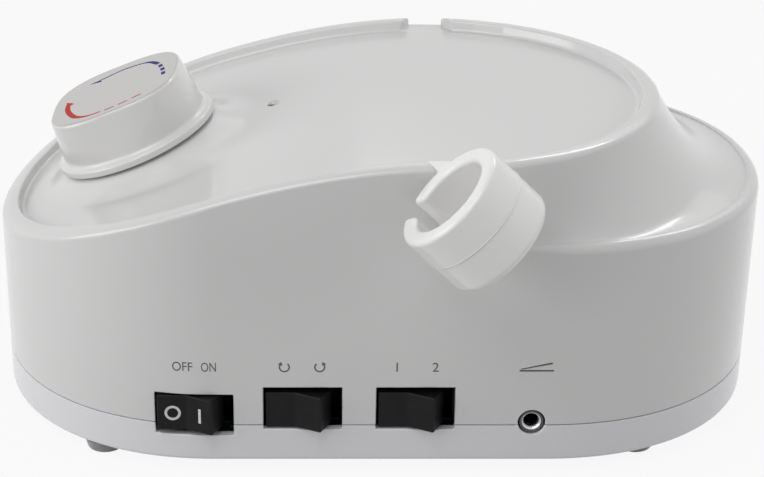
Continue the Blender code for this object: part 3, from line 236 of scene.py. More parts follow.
class FinishSettings(bpy.types.PropertyGroup):
    """Colours and gloss of the finishes."""
    shell: colour("Shell", "Upper housing's white", 0.640, 0.636, 0.634)
    base: colour("Base", "Base tray's white", 0.705, 0.705, 0.728)
    holder: colour("Holder", "Handpiece holder's white", 0.820, 0.816, 0.808)
    knob: colour("Knob", "Speed knob's white", 0.655, 0.650, 0.646)
    # Painted shade: the share of the knob's colour kept over its flat top, which darkens the top as
    # if shaded
    knob_top: colour("Knob Top", "Share of its colour that the knob's flat top keeps", 0.66, 0.65,
                     0.635)
    switch: colour("Switch", "Rockers and switch cases", 0.0045, 0.0045, 0.005)
    rubber: colour("Rubber", "Feet", 0.235, 0.235, 0.238)
    red: colour("Red Ink", "Knob mark towards more speed", 0.46, 0.030, 0.008)
    blue: colour("Blue Ink", "Knob mark towards less speed", 0.010, 0.014, 0.16)
    gloss: factor("Moulding Roughness", "Roughness of the white mouldings", 0.2)


class StageSettings(bpy.types.PropertyGroup):
    """Floor, lamps and camera."""
    ambient: power("Ambient", "Strength of the even light from all round", 0.26)
    key: power("Key Lamp", "Wide soft box above and behind", 0.55)
    glint: power("Glint Lamp", "Narrow soft box that glints in the shoulder", 0.52)
    top: power("Top Lamp", "Soft box high above the front left", 1.5)
    left: power("Left Lamp", "Soft box at the left", 5.7)
    right: power("Right Lamp", "Soft box at the right", 3.6)
    floor: colour("Floor", "Floor's colour", 0.55, 0.55, 0.55)
    floor_glow: factor("Floor White", "Share of plain white that the camera sees in the floor",
                       0.91)
    lens: bpy.props.FloatProperty(
        name="Focal Length", description="Camera's focal length in millimetres", default=87.64,
        min=10.0)


class MicromotorSettings(bpy.types.PropertyGroup):
    """All settings of the control unit."""
    shell: bpy.props.PointerProperty(type=ShellSettings)
    knob: bpy.props.PointerProperty(type=KnobSettings)
    holder: bpy.props.PointerProperty(type=HolderSettings)
    switch: bpy.props.PointerProperty(type=SwitchSettings)
    finish: bpy.props.PointerProperty(type=FinishSettings)
    stage: bpy.props.PointerProperty(type=StageSettings)


# Shader and geometry trees

def feed(tree, node, feeds):
    """Feeds a node's inputs from values or from other outputs."""
    for socket, value in feeds.items():
        if isinstance(value, bpy.types.NodeSocket):
            tree.links.new(value, node.inputs[socket])
        else:
            node.inputs[socket].default_value = value


def add_node(tree, kind, feeds, **options):
    """Adds a node, sets its options and feeds its inputs."""
    made = tree.nodes.new(kind)
    for option, value in options.items():
        setattr(made, option, value)
    feed(tree, made, feeds)
    return made


def first_of(tree, kind, feeds, **options):
    """Adds a node and returns its first output."""
    return add_node(tree, kind, feeds, **options).outputs[0]


def math_of(tree, operation, first, second=0.0):
    return first_of(tree, "ShaderNodeMath", {0: first, 1: second}, operation=operation)


def blank_finish(name):
    """A new material with its tree, its shader and the piece's own coordinates."""
    made = bpy.data.materials.new(name)
    made.use_nodes = True
    tree = made.node_tree
    place = add_node(tree, "ShaderNodeTexCoord", {}).outputs["Object"]
    return made, tree, tree.nodes["Principled BSDF"], place


def cloud_of(tree, place, size, detail=2.0, stretch=None):
    """Soft noise whose features are about as wide as size."""
    if stretch:
        place = first_of(tree, "ShaderNodeMapping", {"Vector": place, "Scale": stretch})
    return first_of(tree, "ShaderNodeTexNoise", {"Vector": place, "Scale": 1 / size,
                                                 "Detail": detail})


def two_tone(tree, factor, dark, light, low=0.32, high=0.68):
    """Blends two colours across a factor."""
    ramp = add_node(tree, "ShaderNodeValToRGB", {0: factor})
    for element, place, tone in zip(ramp.color_ramp.elements, (low, high), (dark, light)):
        element.position = place
        element.color = (*tone, 1)
    return ramp.outputs[0]


def range_of(tree, factor, low, high):
    return first_of(tree, "ShaderNodeMapRange", {"Value": factor, "From Min": 0.3, "From Max": 0.7,
                                                 "To Min": low, "To Max": high})


def bumps(tree, height, depth):
    return first_of(tree, "ShaderNodeBump", {"Height": height, "Distance": depth, "Strength": 1.0})


def tinted(tone, share):
    return tuple(min(channel * share, 1) for channel in tone)


# Each maker of a finish returns what feeds the shader

def moulding(tree, place, tone, roughness, mottle=0.008, cloud=0.05, grain=0.0005,
             depth=0.0000015, coat=0.0, shine=0.5):
    """Moulded plastic or rubber: faint clouding of colour and gloss, and a fine surface grain."""
    soft = cloud_of(tree, place, cloud, 1.0)
    return {"Base Color": two_tone(tree, soft, tinted(tone, 1 - mottle), tinted(tone, 1 + mottle)),
            "Roughness": range_of(tree, soft, roughness * 0.94, roughness * 1.06),
            "Normal": bumps(tree, cloud_of(tree, place, grain), depth),
            "Specular IOR Level": shine, "Coat Weight": coat, "Coat Roughness": 0.05}


def knob_plastic(tree, place, tone, top_shade_share, roughness):
    """The knob's plastic, with painted shade over the flat top that carries the marks: the top's
    colour is multiplied down so that the top renders darker, as if shaded.
    """
    feeds = moulding(tree, place, tone, roughness, coat=0.35)
    axis = KNOB_FRAME.col[2].to_3d()
    top = (KNOB_FRAME.translation + SHIFT).dot(axis) + KNOB_HEIGHT
    along = add_node(tree, "ShaderNodeVectorMath", {0: place, 1: axis}, operation="DOT_PRODUCT")
    # Mask of the flat top, where the painted shade darkens the colour
    flat = first_of(tree, "ShaderNodeMapRange", {
        "Value": along.outputs["Value"], "From Min": top - 0.0003, "From Max": top - 0.0001})
    shaded_top_colour = add_node(tree, "ShaderNodeMix", {0: flat, 6: feeds["Base Color"], 7: (*top_shade_share, 1)},
                      data_type="RGBA", blend_type="MULTIPLY")
    feeds["Base Color"] = shaded_top_colour.outputs[2]
    return feeds


def metal(tree, place, tone, roughness, stretch=(1, 1, 12)):
    """Drawn or turned metal: streaks in its colour, gloss and surface."""
    lines = cloud_of(tree, place, 0.0012, 4.0, stretch)
    return {"Base Color": two_tone(tree, lines, tinted(tone, 0.88), tinted(tone, 1.08)),
            "Roughness": range_of(tree, lines, roughness * 0.7, roughness * 1.35),
            "Normal": bumps(tree, lines, 0.000004), "Metallic": 1.0}


def banded(tree, place, dark, light, roughness, pitch, axis, metallic=0.0):
    """Sheets or windings laid side by side, as bands across one axis."""
    bands = add_node(tree, "ShaderNodeTexWave", {
        "Vector": place, "Scale": math.pi / pitch / 10, "Distortion": 0.4, "Detail Scale": 30.0},
        bands_direction=axis).outputs["Fac"]
    return {"Base Color": two_tone(tree, bands, dark, light),
            "Roughness": range_of(tree, bands, roughness * 1.2, roughness * 0.85),
            "Normal": bumps(tree, bands, pitch * 0.12), "Metallic": metallic}


def circuit_board(tree, place):
    """Green solder mask over copper runs, with tinned pads."""
    runs = add_node(tree, "ShaderNodeTexBrick", {
        "Vector": place, "Color1": (0.012, 0.125, 0.050, 1), "Color2": (0.016, 0.150, 0.062, 1),
        "Mortar": (0.030, 0.230, 0.100, 1), "Scale": 1.0, "Mortar Size": 0.0004,
        "Brick Width": 0.0145, "Row Height": 0.0032}).outputs
    spots = first_of(tree, "ShaderNodeTexVoronoi", {"Vector": place, "Scale": 190.0},
                     distance="CHEBYCHEV")
    pads = two_tone(tree, spots, (1, 1, 1), (0, 0, 0), 0.13, 0.15)
    mixed = first_of(tree, "ShaderNodeMixRGB", {"Fac": pads, "Color1": runs["Color"],
                                                "Color2": (0.45, 0.44, 0.40, 1)})
    return {"Base Color": mixed, "Metallic": pads, "Normal": bumps(tree, runs["Fac"], 0.00004),
            "Roughness": 0.35}


def clear_glass(tree, place):
    """Tube glass with slight waves."""
    waves = cloud_of(tree, place, 0.004)
    return {"Base Color": two_tone(tree, waves, (0.80, 0.84, 0.84), (0.90, 0.93, 0.93)),
            "Normal": bumps(tree, waves, 0.00001), "Roughness": 0.05, "Transmission Weight": 0.7}


def finish_for(slot):
    """The finish of a material slot, made when it is first asked for."""
    if "finish_" + slot in bpy.data.materials:
        return bpy.data.materials["finish_" + slot]
    made, tree, shader, place = blank_finish("finish_" + slot)
    picked = bpy.context.scene.micromotor.finish
    maker, options, *values = {
        "white_shell": (moulding, {"coat": 0.25}, picked.shell, picked.gloss),
        "base_white": (moulding, {"coat": 0.1}, picked.base, picked.gloss * 1.2),
        "holder_white": (moulding, {"coat": 0.30}, picked.holder, 0.30),
        # The knob's finish carries painted shade over its flat top
        "knob_white": (knob_plastic, {}, picked.knob, picked.knob_top, picked.gloss),
        "switch_black": (moulding, {"shine": 0.16}, picked.switch, 0.42, 0.25, 0.004, 0.00012,
                         0.000008),
        "foot_rubber": (moulding, {}, picked.rubber, 0.3, 0.12, 0.003, 0.0002, 0.000004),
        "black_moulding": (moulding, {"shine": 0.25}, (0.016, 0.016, 0.018), 0.4, 0.2, 0.006,
                           0.00018, 0.000008),
        "bright_steel": (metal, {}, (0.60, 0.60, 0.62), 0.24),
        # Nickel with painted shade: its colour is darkened to stand in for the shade and dark
        # reflections of the recessed jack ring
        "dark_nickel": (metal, {}, (0.09, 0.09, 0.095), 0.22),
        "brass": (metal, {}, (0.70, 0.50, 0.20), 0.28),
        "aluminium": (metal, {}, (0.70, 0.71, 0.73), 0.36, (1, 1, 25)),
        "lamp_lens": (moulding, {"coat": 0.6}, (0.030, 0.032, 0.034), 0.12, 0.2, 0.001, 0.0003,
                      0.000002),
        "board_green": (circuit_board, {}),
        "core_grey": (banded, {}, (0.11, 0.11, 0.12), (0.24, 0.24, 0.26), 0.42, 0.0005, "Y", 0.7),
        "coil_tape": (banded, {}, (0.50, 0.31, 0.05), (0.64, 0.43, 0.09), 0.34, 0.0045, "Z"),
        "can_blue": (moulding, {}, (0.030, 0.052, 0.165), 0.30, 0.1, 0.008, 0.0006),
        "relay_blue": (moulding, {}, (0.022, 0.100, 0.350), 0.36, 0.08, 0.006, 0.0003),
        "fuse_glass": (clear_glass, {}),
        "switch_print": (moulding, {}, (0.62, 0.62, 0.61), 0.5, 0.05, 0.001, 0.0002),
        "wall_print": (moulding, {}, (0.085, 0.085, 0.095), 0.45, 0.12, 0.001, 0.0002),
        "red_print": (moulding, {"shine": 0.1}, picked.red, 0.5, 0.06, 0.002, 0.0003),
        "blue_print": (moulding, {"shine": 0.1}, picked.blue, 0.5, 0.08, 0.002, 0.0003),
    }[slot]
    feed(tree, shader, maker(tree, place, *values, **options))
    return made


# Each geometry tree is filled by a function that returns what it has grown

def turned_form(tree, given):
    """Sweeps a profile round Z; above a low height it may grow from round to a full oval."""
    def plus(first, second):
        return math_of(tree, "ADD", first, second)

    def less(first, second):
        return math_of(tree, "SUBTRACT", first, second)

    def times(first, second):
        return math_of(tree, "MULTIPLY", first, second)

    rows = add_node(tree, "GeometryNodeAttributeDomainSize",
                    {"Geometry": given["Geometry"]}).outputs["Point Count"]
    sheet = first_of(tree, "GeometryNodeMeshGrid", {
        "Size X": 1.0, "Size Y": 1.0, "Vertices X": plus(given["Steps"], 1.0),
        "Vertices Y": rows})
    position = first_of(tree, "GeometryNodeInputPosition", {})
    flat = add_node(tree, "ShaderNodeSeparateXYZ", {0: position}).outputs
    turn = times(plus(flat[0], 0.5), math.tau)
    row = times(plus(flat[1], 0.5), less(rows, 1.0))
    whole = first_of(tree, "FunctionNodeFloatToInt", {0: row}, rounding_mode="ROUND")
    point = first_of(tree, "GeometryNodeSampleIndex", {
        "Geometry": given["Geometry"], "Index": whole, "Value": position},
        data_type="FLOAT_VECTOR", domain="POINT")
    drawn = add_node(tree, "ShaderNodeSeparateXYZ", {0: point}).outputs
    climb = first_of(tree, "ShaderNodeMapRange", {
        "Value": drawn[2], "From Min": given["Low"], "From Max": given["High"]})
    core = first_of(tree, "ShaderNodeMapRange", {
        "Value": drawn[0], "From Min": given["Round Core"],
        "From Max": times(given["Round Core"], 1.4)})
    share = times(climb, core)
    power = plus(times(share, less(given["Fullness"], 2.0)), 2.0)
    sides = math_of(tree, "COSINE", turn), math_of(tree, "SINE", turn)
    total = plus(*[math_of(tree, "POWER", math_of(tree, "ABSOLUTE", side), power)
                   for side in sides])
    reach = times(drawn[0], math_of(tree, "POWER", total, math_of(tree, "DIVIDE", -1.0, power)))
    across, deep = [times(times(reach, side), plus(times(share, less(given[label], 1.0)), 1.0))
                    for side, label in zip(sides, ("Across Share", "Deep Share"))]
    place = first_of(tree, "ShaderNodeCombineXYZ", {0: across, 1: deep, 2: drawn[2]})
    moved = first_of(tree, "GeometryNodeSetPosition", {"Geometry": sheet, "Position": place})
    return first_of(tree, "GeometryNodeMergeByDistance", {"Geometry": moved, "Distance": WELD})


def set_out_form(tree, given):
    """Sets a finished piece out on every given point, turned the same way."""
    piece = add_node(tree, "GeometryNodeObjectInfo", {"Object": given["Piece"]})
    turn = first_of(tree, "FunctionNodeEulerToRotation", {0: given["Turn"]})
    return first_of(tree, "GeometryNodeInstanceOnPoints", {
        "Points": given["Geometry"], "Instance": piece.outputs["Geometry"], "Rotation": turn})


def dashes_form(tree, given):
    """Lays flat dashes along a path, evenly spaced and turned with it."""
    line = first_of(tree, "GeometryNodeMeshToCurve", {"Mesh": given["Geometry"]})
    even = first_of(tree, "GeometryNodeResampleCurve", {"Curve": line, "Count": given["Count"]})
    dash = first_of(tree, "GeometryNodeMeshCube", {"Size": given["Size"], "Vertices X": 7,
                                                   "Vertices Y": 3})
    along = first_of(tree, "GeometryNodeInputTangent", {})
    turn = first_of(tree, "FunctionNodeAlignRotationToVector", {"Vector": along}, axis="X",
                    pivot_axis="Z")
    return first_of(tree, "GeometryNodeInstanceOnPoints", {"Points": even, "Instance": dash,
                                                           "Rotation": turn})


def pin_ring_form(tree, given):
    """Stands one pin on each point of a circle."""
    ring = first_of(tree, "GeometryNodeMeshCircle", {"Vertices": given["Pins"],
                                                     "Radius": given["Circle Radius"]})
    shank = first_of(tree, "GeometryNodeMeshCone", {
        "Vertices": 24, "Radius Top": math_of(tree, "MULTIPLY", given["Pin Radius"], 0.75),
        "Radius Bottom": given["Pin Radius"], "Depth": given["Pin Length"], "Side Segments": 4})
    return first_of(tree, "GeometryNodeInstanceOnPoints", {"Points": ring, "Instance": shank})


def tree_of(fill, values):
    """A geometry tree with named inputs for the values, which ends in real, dressed meshes."""
    if fill.__name__ in bpy.data.node_groups:
        return bpy.data.node_groups[fill.__name__]
    kinds = {int: "Int", float: "Float", tuple: "Vector", bpy.types.Object: "Object",
             bpy.types.Material: "Material"}
    tree = bpy.data.node_groups.new(fill.__name__, "GeometryNodeTree")
    tree.interface.new_socket("Geometry", in_out="INPUT", socket_type="NodeSocketGeometry")
    for label, value in values.items():
        tree.interface.new_socket(label, in_out="INPUT",
                                  socket_type="NodeSocket" + kinds[type(value)])
    tree.interface.new_socket("Geometry", in_out="OUTPUT", socket_type="NodeSocketGeometry")
    given = tree.nodes.new("NodeGroupInput").outputs
    real = first_of(tree, "GeometryNodeRealizeInstances", {"Geometry": fill(tree, given)})
    dressed = first_of(tree, "GeometryNodeSetMaterial", {"Geometry": real,
                                                         "Material": given["Material"]})
    add_node(tree, "NodeGroupOutput", {0: dressed})
    return tree


# Meshes

def bench(name, mesh):
    """An object linked into the scene; working objects made so are cleared away by their callers,
    while the floor, lamps and camera stay.
    """
    made = bpy.data.objects.new(name, mesh)
    bpy.context.scene.collection.objects.link(made)
    return made


def worked(piece):
    """Works the modifiers into a mesh of its own and clears the working object away."""
    bpy.context.view_layer.update()
    graph = bpy.context.evaluated_depsgraph_get()
    mesh = bpy.data.meshes.new_from_object(piece.evaluated_get(graph))
    mesh.name = piece.name
    old = piece.data
    bpy.data.objects.remove(piece)
    if old.users == 0:
        (bpy.data.meshes if isinstance(old, bpy.types.Mesh) else bpy.data.curves).remove(old)
    return mesh


def grown(mesh, fill, values):
    """Runs a geometry tree on a mesh with its named inputs set, and returns a plain mesh."""
    piece = bench(fill.__name__, mesh)
    change = piece.modifiers.new(fill.__name__, "NODES")
    change.node_group = tree_of(fill, values)
    for socket in change.node_group.interface.items_tree:
        if socket.in_out == "INPUT" and socket.name in values:
            change[socket.identifier] = values[socket.name]
    return worked(piece)


def points_mesh(points, joined=False):
    mesh = bpy.data.meshes.new("points")
    edges = [(i, i + 1) for i in range(len(points) - 1)] if joined else []
    mesh.from_pydata([tuple(p) for p in points], edges, [])
    return mesh


def opened(mesh, merged=True):
    """A mesh opened for change, with its doubles merged."""
    shape = bmesh.new()
    shape.from_mesh(mesh)
    if merged:
        bmesh.ops.remove_doubles(shape, verts=shape.verts, dist=WELD)
    return shape


def closed(shape, mesh=None):
    """Puts a changed shape back into its mesh, or a new shape, faces outwards, into a new one."""
    if mesh is None:
        bmesh.ops.recalc_face_normals(shape, faces=shape.faces)
        mesh = bpy.data.meshes.new("shape")
    shape.to_mesh(mesh)
    shape.free()
    return mesh


def outward(mesh):
    """Merges doubles, drops empty faces and turns all faces outwards."""
    shape = opened(mesh)
    bmesh.ops.dissolve_degenerate(shape, edges=shape.edges, dist=WELD / 2)
    bmesh.ops.recalc_face_normals(shape, faces=shape.faces)
    return closed(shape, mesh)


def turned(profile, steps=64, fullness=2.0, across=1.0, deep=1.0, low=0.0, high=1.0, core=0.0001):
    """A turned piece from (radius, height) pairs, by the turned_form tree."""
    line = points_mesh([(r, 0, h) for r, h in profile], True)
    return outward(grown(line, turned_form, {
        "Steps": steps, "Fullness": fullness, "Across Share": across, "Deep Share": deep,
        "Low": low, "High": high, "Round Core": core, "Material": finish_for("bright_steel")}))


def angles_to(end, steps=ARC_STEPS):
    """Even angles from nothing to an end."""
    return [i / steps * end for i in range(steps + 1)]


def arc(centre, radius, start, end, steps=ARC_STEPS):
    """(radius, height) pairs along a part circle; angles in degrees from the outward axis."""
    angles = [math.radians(start + (end - start) * i / steps) for i in range(steps + 1)]
    return [(centre[0] + radius * math.cos(a), centre[1] + radius * math.sin(a)) for a in angles]


def block(low, high):
    """A box between two corners."""
    shape = bmesh.new()
    bmesh.ops.create_cube(shape, size=1)
    low, high = Vector(low), Vector(high)
    for vert in shape.verts:
        vert.co = Vector(h if c > 0 else l for c, l, h in zip(vert.co, low, high))
    return closed(shape)


def rod(radius, start, end, steps=48):
    """A plain round bar between two points."""
    start, end = Vector(start), Vector(end)
    shape = bmesh.new()
    bmesh.ops.create_cone(shape, cap_ends=True, segments=steps, radius1=radius, radius2=radius,
                          depth=(end - start).length)
    mesh = closed(shape)
    mesh.transform(Matrix.Translation((start + end) / 2)
                   @ (end - start).to_track_quat("Z", "Y").to_matrix().to_4x4())
    return mesh


def screw_hole(start, end):
    return rod(SCREW_RADIUS + GAP, start, end, 24)


def walled(shape, rows):
    """Joins rows of vertices, each a closed ring, by faces."""
    for lower, upper in zip(rows, rows[1:]):
        for i in range(len(lower)):
            k = (i + 1) % len(lower)
            shape.faces.new((lower[i], lower[k], upper[k], upper[i]))


def capped(shape, rows):
    """Joins rings and closes both ends."""
    walled(shape, rows)
    shape.faces.new(rows[0])
    shape.faces.new(rows[-1])
    return closed(shape)


def prism(outline, low, high):
    """An upright prism over a plan outline."""
    shape = bmesh.new()
    return capped(shape, [[shape.verts.new((x, y, z)) for x, y in outline] for z in (low, high)])


def ribbon(path, widths, low, high):
    """A flat inked line of changing width along a path in the XY plane."""
    shape = bmesh.new()
    rows = []
    for i, point in enumerate(path):
        ahead = Vector(path[min(i + 1, len(path) - 1)]) - Vector(path[max(i - 1, 0)])
        across = Vector((-ahead.y, ahead.x)).normalized() * widths[i] / 2
        left, right = Vector(point) + across, Vector(point) - across
        rows.append([shape.verts.new((p.x, p.y, z)) for p, z in (
            (left, high), (right, high), (right, low), (left, low))])
    return capped(shape, rows)


def smooth_path(points, steps=6):
    """A rounder line through the same points."""
    made = []
    padded = [points[0]] + list(points) + [points[-1]]
    for a, b, c, d in zip(padded, padded[1:], padded[2:], padded[3:]):
        for i in range(steps):
            t = i / steps
            made.append(tuple(0.5 * (2 * q + (r - p) * t + (2 * p - 5 * q + 4 * r - s) * t * t
                                     + (3 * q - p - 3 * r + s) * t ** 3)
                              for p, q, r, s in zip(a, b, c, d)))
    return made + [tuple(points[-1])]


def together(meshes):
    """Several meshes as one."""
    shape = bmesh.new()
    for mesh in meshes:
        shape.from_mesh(mesh)
        bpy.data.meshes.remove(mesh)
    return closed(shape, bpy.data.meshes.new("together"))


def unmarked(mesh):
    """Forgets which faces the last cut made."""
    mesh.polygons.foreach_set("material_index", [0] * len(mesh.polygons))
    return mesh


def carved(mesh, tool, operation="DIFFERENCE"):
    """The mesh less, or plus, a tool; the tool's faces are marked by their material index."""
    for item in (mesh, tool):
        item.materials.clear()
        for name in ("uncut", "cut"):
            item.materials.append(bpy.data.materials.get(name) or bpy.data.materials.new(name))
    tool.polygons.foreach_set("material_index", [1] * len(tool.polygons))
    piece = bench(mesh.name, mesh)
    cutter = bench("cutter", tool)
    change = piece.modifiers.new("carve", "BOOLEAN")
    change.operation = operation
    change.solver = "EXACT"
    change.object = cutter
    made = worked(piece)
    bpy.data.objects.remove(cutter)
    bpy.data.meshes.remove(tool)
    return made


def soften(mesh, width, marked_only=False, least=35.0, segments=3):
    """Rounds crisp edges; with marked_only just those that a cut has made."""
    shape = opened(mesh)
    bmesh.ops.dissolve_degenerate(shape, edges=shape.edges, dist=WELD)
    crisp = [edge for edge in shape.edges if len(edge.link_faces) == 2
             and edge.calc_face_angle(0) > math.radians(least)
             and (not marked_only or any(f.material_index for f in edge.link_faces))]
    bmesh.ops.bevel(shape, geom=crisp, offset=width, offset_type="OFFSET", segments=segments,
                    profile=0.5, affect="EDGES", clamp_overlap=False)
    return closed(shape, mesh)


def shaded(mesh, angle=50.0):
    """Smooth shading led by the larger faces, so roundings don't pull on flat walls."""
    mesh.shade_smooth()
    mesh.set_sharp_from_angle(angle=math.radians(angle))
    piece = bench(mesh.name, mesh)
    change = piece.modifiers.new("weighted", "WEIGHTED_NORMAL")
    change.keep_sharp = True
    return worked(piece)


CORNERS = ("front_left", "front_right", "rear_left", "rear_right")
HERE = Matrix.Identity(4)
SHIFTED = Matrix.Translation(SHIFT)
STANDING = Matrix.Rotation(math.pi / 2, 4, "X")


def fit(name, mesh, slot, nodes=(), body="control_unit", place=HERE):
    """Sets a finished mesh down on the frame as a piece that rides on a body."""
    if place is not None:
        mesh.transform(SHIFTED @ place)
    mesh.materials.clear()
    mesh.materials.append(finish_for(slot))
    unmarked(mesh).name = name
    piece = bpy.data.objects.new(name, mesh)
    bpy.context.scene.collection.objects.link(piece)
    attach(piece, body)
    if nodes:
        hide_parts(*nodes)


def refit(name, node, slot, width, segments=2, tool=None, body="control_unit"):
    """A piece from a CAD node's own mesh, merged, carved by a tool and with its edges rounded."""
    shape = opened(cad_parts[node].data)
    bmesh.ops.dissolve_limit(shape, angle_limit=math.radians(1), verts=shape.verts,
                             edges=shape.edges)
    mesh = closed(shape, bpy.data.meshes.new(node))
    if tool:
        tool.transform(SHIFTED)
        mesh = carved(mesh, tool)
    fit(name, shaded(soften(mesh, width, segments=segments)), slot, [node], body, None)


# The housing's rules

def end_point(centre_x, reach, share, side):
    """A point on a rounded end; share 0 is its tip and 1 is where the straight wall starts."""
    angle = share * math.pi / 2
    power = 2 / END_FULLNESS
    return Vector((centre_x + side * reach * math.cos(angle) ** power,
                   HALF_DEPTH - HALF_DEPTH * math.sin(angle) ** power))


def outer_outline():
    """The outer wall's plan, closed, with no point close beside an opening's side."""
    points = [end_point(FLAT_LEFT, LEFT_REACH, i / END_STEPS, -1) for i in range(END_STEPS)]
    for start, end, steps in ((FLAT_LEFT, TRAY_CENTRE_X, FLAT_STEPS),
                              (TRAY_CENTRE_X, FLAT_RIGHT, SHOULDER_STEPS)):
        points += [Vector((start + (end - start) * i / steps, 0)) for i in range(steps)]
    points += [end_point(FLAT_RIGHT, RIGHT_REACH, 1 - i / END_STEPS, 1)
               for i in range(END_STEPS + 1)]
    sides = [x + side * WINDOW_WIDTH / 2 for x in WINDOW_CENTRES for side in (-1, 1)]
    sides += [NOTCH_X - NOTCH_OUTER / 2, NOTCH_X + NOTCH_OUTER / 2]
    clear = 0.0005
    front = [p for p in points if p.y > HALF_DEPTH / 2
             or (all(abs(p.x - x) > clear for x in sides)
                 and abs(p.x - JACK.x) > JACK_HOLE + clear)]
    return front + [Vector((p.x, BODY_DEPTH - p.y)) for p in reversed(front[1:-1])]


def rim_point(outer):
    """The tray rim's point beside an outer wall point: a half circle closes its right end."""
    if outer.x <= TRAY_CENTRE_X:
        return outer.copy()
    centre = Vector((TRAY_CENTRE_X, HALF_DEPTH))
    return centre + (outer - centre).normalized() * HALF_DEPTH


def inset(outline, distance):
    """The outline moved inwards by a distance, square to its own line."""
    moved = []
    for i, point in enumerate(outline):
        along = outline[(i + 1) % len(outline)] - outline[i - 1]
        moved.append(point + Vector((-along.y, along.x)).normalized() * distance)
    return moved


def rim_height(x):
    """Height of the tray rim: level on the right, and half a wave down to the left."""
    back = max(BROW_X - x, 0)
    return BROW_HEIGHT - TRAY_FALL * (1 - math.cos(math.pi * back / TRAY_WAVE)) / 2


def lip_height(x):
    return min(LIP_HEIGHT, rim_height(x) - FLANK_DROP)


def level_ring(outline, height):
    return [Vector((p.x, p.y, height)) for p in outline]


def rim_ring(outline, depth):
    return [Vector((p.x, p.y, rim_height(p.x) - depth)) for p in outline]


def wall_front(x):
    """How far back the front wall lies at a place along it."""
    if FLAT_LEFT <= x <= FLAT_RIGHT:
        return 0.0
    centre, reach = (FLAT_LEFT, LEFT_REACH) if x < FLAT_LEFT else (FLAT_RIGHT, RIGHT_REACH)
    cosine = (abs(x - centre) / reach) ** (END_FULLNESS / 2)
    return HALF_DEPTH - HALF_DEPTH * math.sqrt(1 - cosine ** 2) ** (2 / END_FULLNESS)


def close_by_strips(shape, row):
    """Closes a ring by strips from front to back."""
    count = len(row)
    for i in range(count // 2):
        corners = [row[i], row[i + 1], row[(count - i - 1) % count], row[(count - i) % count]]
        shape.faces.new(list(dict.fromkeys(corners)))


def blend_high(a, b, soft):
    """The higher of two heights, with a hollow blend where they meet."""
    near = max(soft - abs(a - b), 0) / soft
    return max(a, b) + near * near * soft / 4


KNOB_BACK = KNOB_FRAME.inverted()


def mound_height(x, y, floor):
    """Height of the knob's mound over a place on the tray floor."""
    slope = MOUND_HEIGHT / (MOUND_FOOT_RADIUS - MOUND_TOP_RADIUS)
    z = floor
    for _ in range(6):
        local = KNOB_BACK @ Vector((x, y, z))
        radius = math.hypot(local.x, local.y)
        cone = MOUND_TOP - (radius - MOUND_TOP_RADIUS) * slope
        top = -blend_high(-MOUND_TOP, -cone, 0.0008)
        z += (top - local.z) / KNOB_FRAME[2][2]
    return z


def tray_floor(shape, row, blend):
    """Fills the tray with a fine sheet that swells into the knob's mound."""
    count = len(row)
    half = count // 2
    columns = []
    for i in range(half + 1):
        front, back = row[i], row[(count - i) % count]
        if front is back:
            columns.append([front] * (FLOOR_STEPS + 1))
            continue
        column = [front]
        for j in range(1, FLOOR_STEPS):
            place = front.co.lerp(back.co, j / FLOOR_STEPS)
            local = KNOB_BACK @ place
            if math.hypot(local.x, local.y) < MOUND_FOOT_RADIUS + 4 * blend:
                place.z = blend_high(place.z, mound_height(place.x, place.y, place.z), blend)
            column.append(shape.verts.new(place))
        columns.append(column + [back])
    for a, b in zip(columns, columns[1:]):
        for j in range(FLOOR_STEPS):
            shape.faces.new(list(dict.fromkeys((a[j], b[j], b[j + 1], a[j + 1]))))


def lip_between(outer, rim):
    """The lip's width between a wall point and its rim point, and the way in across it."""
    return min(LIP_WIDTH, (outer - rim).length / 2), (rim - outer).normalized()


def lip_rings(outer, rim, settings):
    """From the wall, over the rounded lip and its small step, down to the shoulder."""
    edge, step = settings.lip_round, settings.lip_step
    stations = [(edge * (1 - math.cos(a)), edge * (math.sin(a) - 1))
                for a in angles_to(math.pi / 2)]
    stations += [(LIP_WIDTH - step, 0), (LIP_WIDTH - step * 0.4, -step * 0.25),
                 (LIP_WIDTH - step * 0.1, -step * 0.8), (LIP_WIDTH + step * 0.2, -step)]
    rings = []
    for inward, rise in stations:
        ring = []
        for o, r in zip(outer, rim):
            width, way = lip_between(o, r)
            fade = width / LIP_WIDTH
            ring.append(Vector((*(o + way * inward * fade), lip_height(r.x) + rise * fade)))
        rings.append(ring)
    return rings


def flank_point(place, x, share, low, settings, drop):
    """A point of the hollow flank beside a rim point; share is 0 at the rim and 1 at the lip."""
    high = rim_height(x) - settings.rim_round
    return Vector((*place, low + (high - low) * (1 - share) ** FLANK_CURVE - drop))


def shoulder_rings(outer, rim, settings):
    """The hollow flank from the lip up to the tray rim."""
    rings = []
    for i in range(FLANK_STEPS):
        share = 0.985 * (1 - (i / FLANK_STEPS)) ** 1.25
        ring = []
        for o, r in zip(outer, rim):
            width, way = lip_between(o, r)
            low = lip_height(r.x) + (LIP_WIDTH - width) * LIP_FADE_SHARE
            drop = settings.lip_step * width / LIP_WIDTH * share ** 4
            ring.append(flank_point(r + (o + way * width - r) * share, r.x, share, low, settings,
                                    drop))
        rings.append(ring)
    return rings


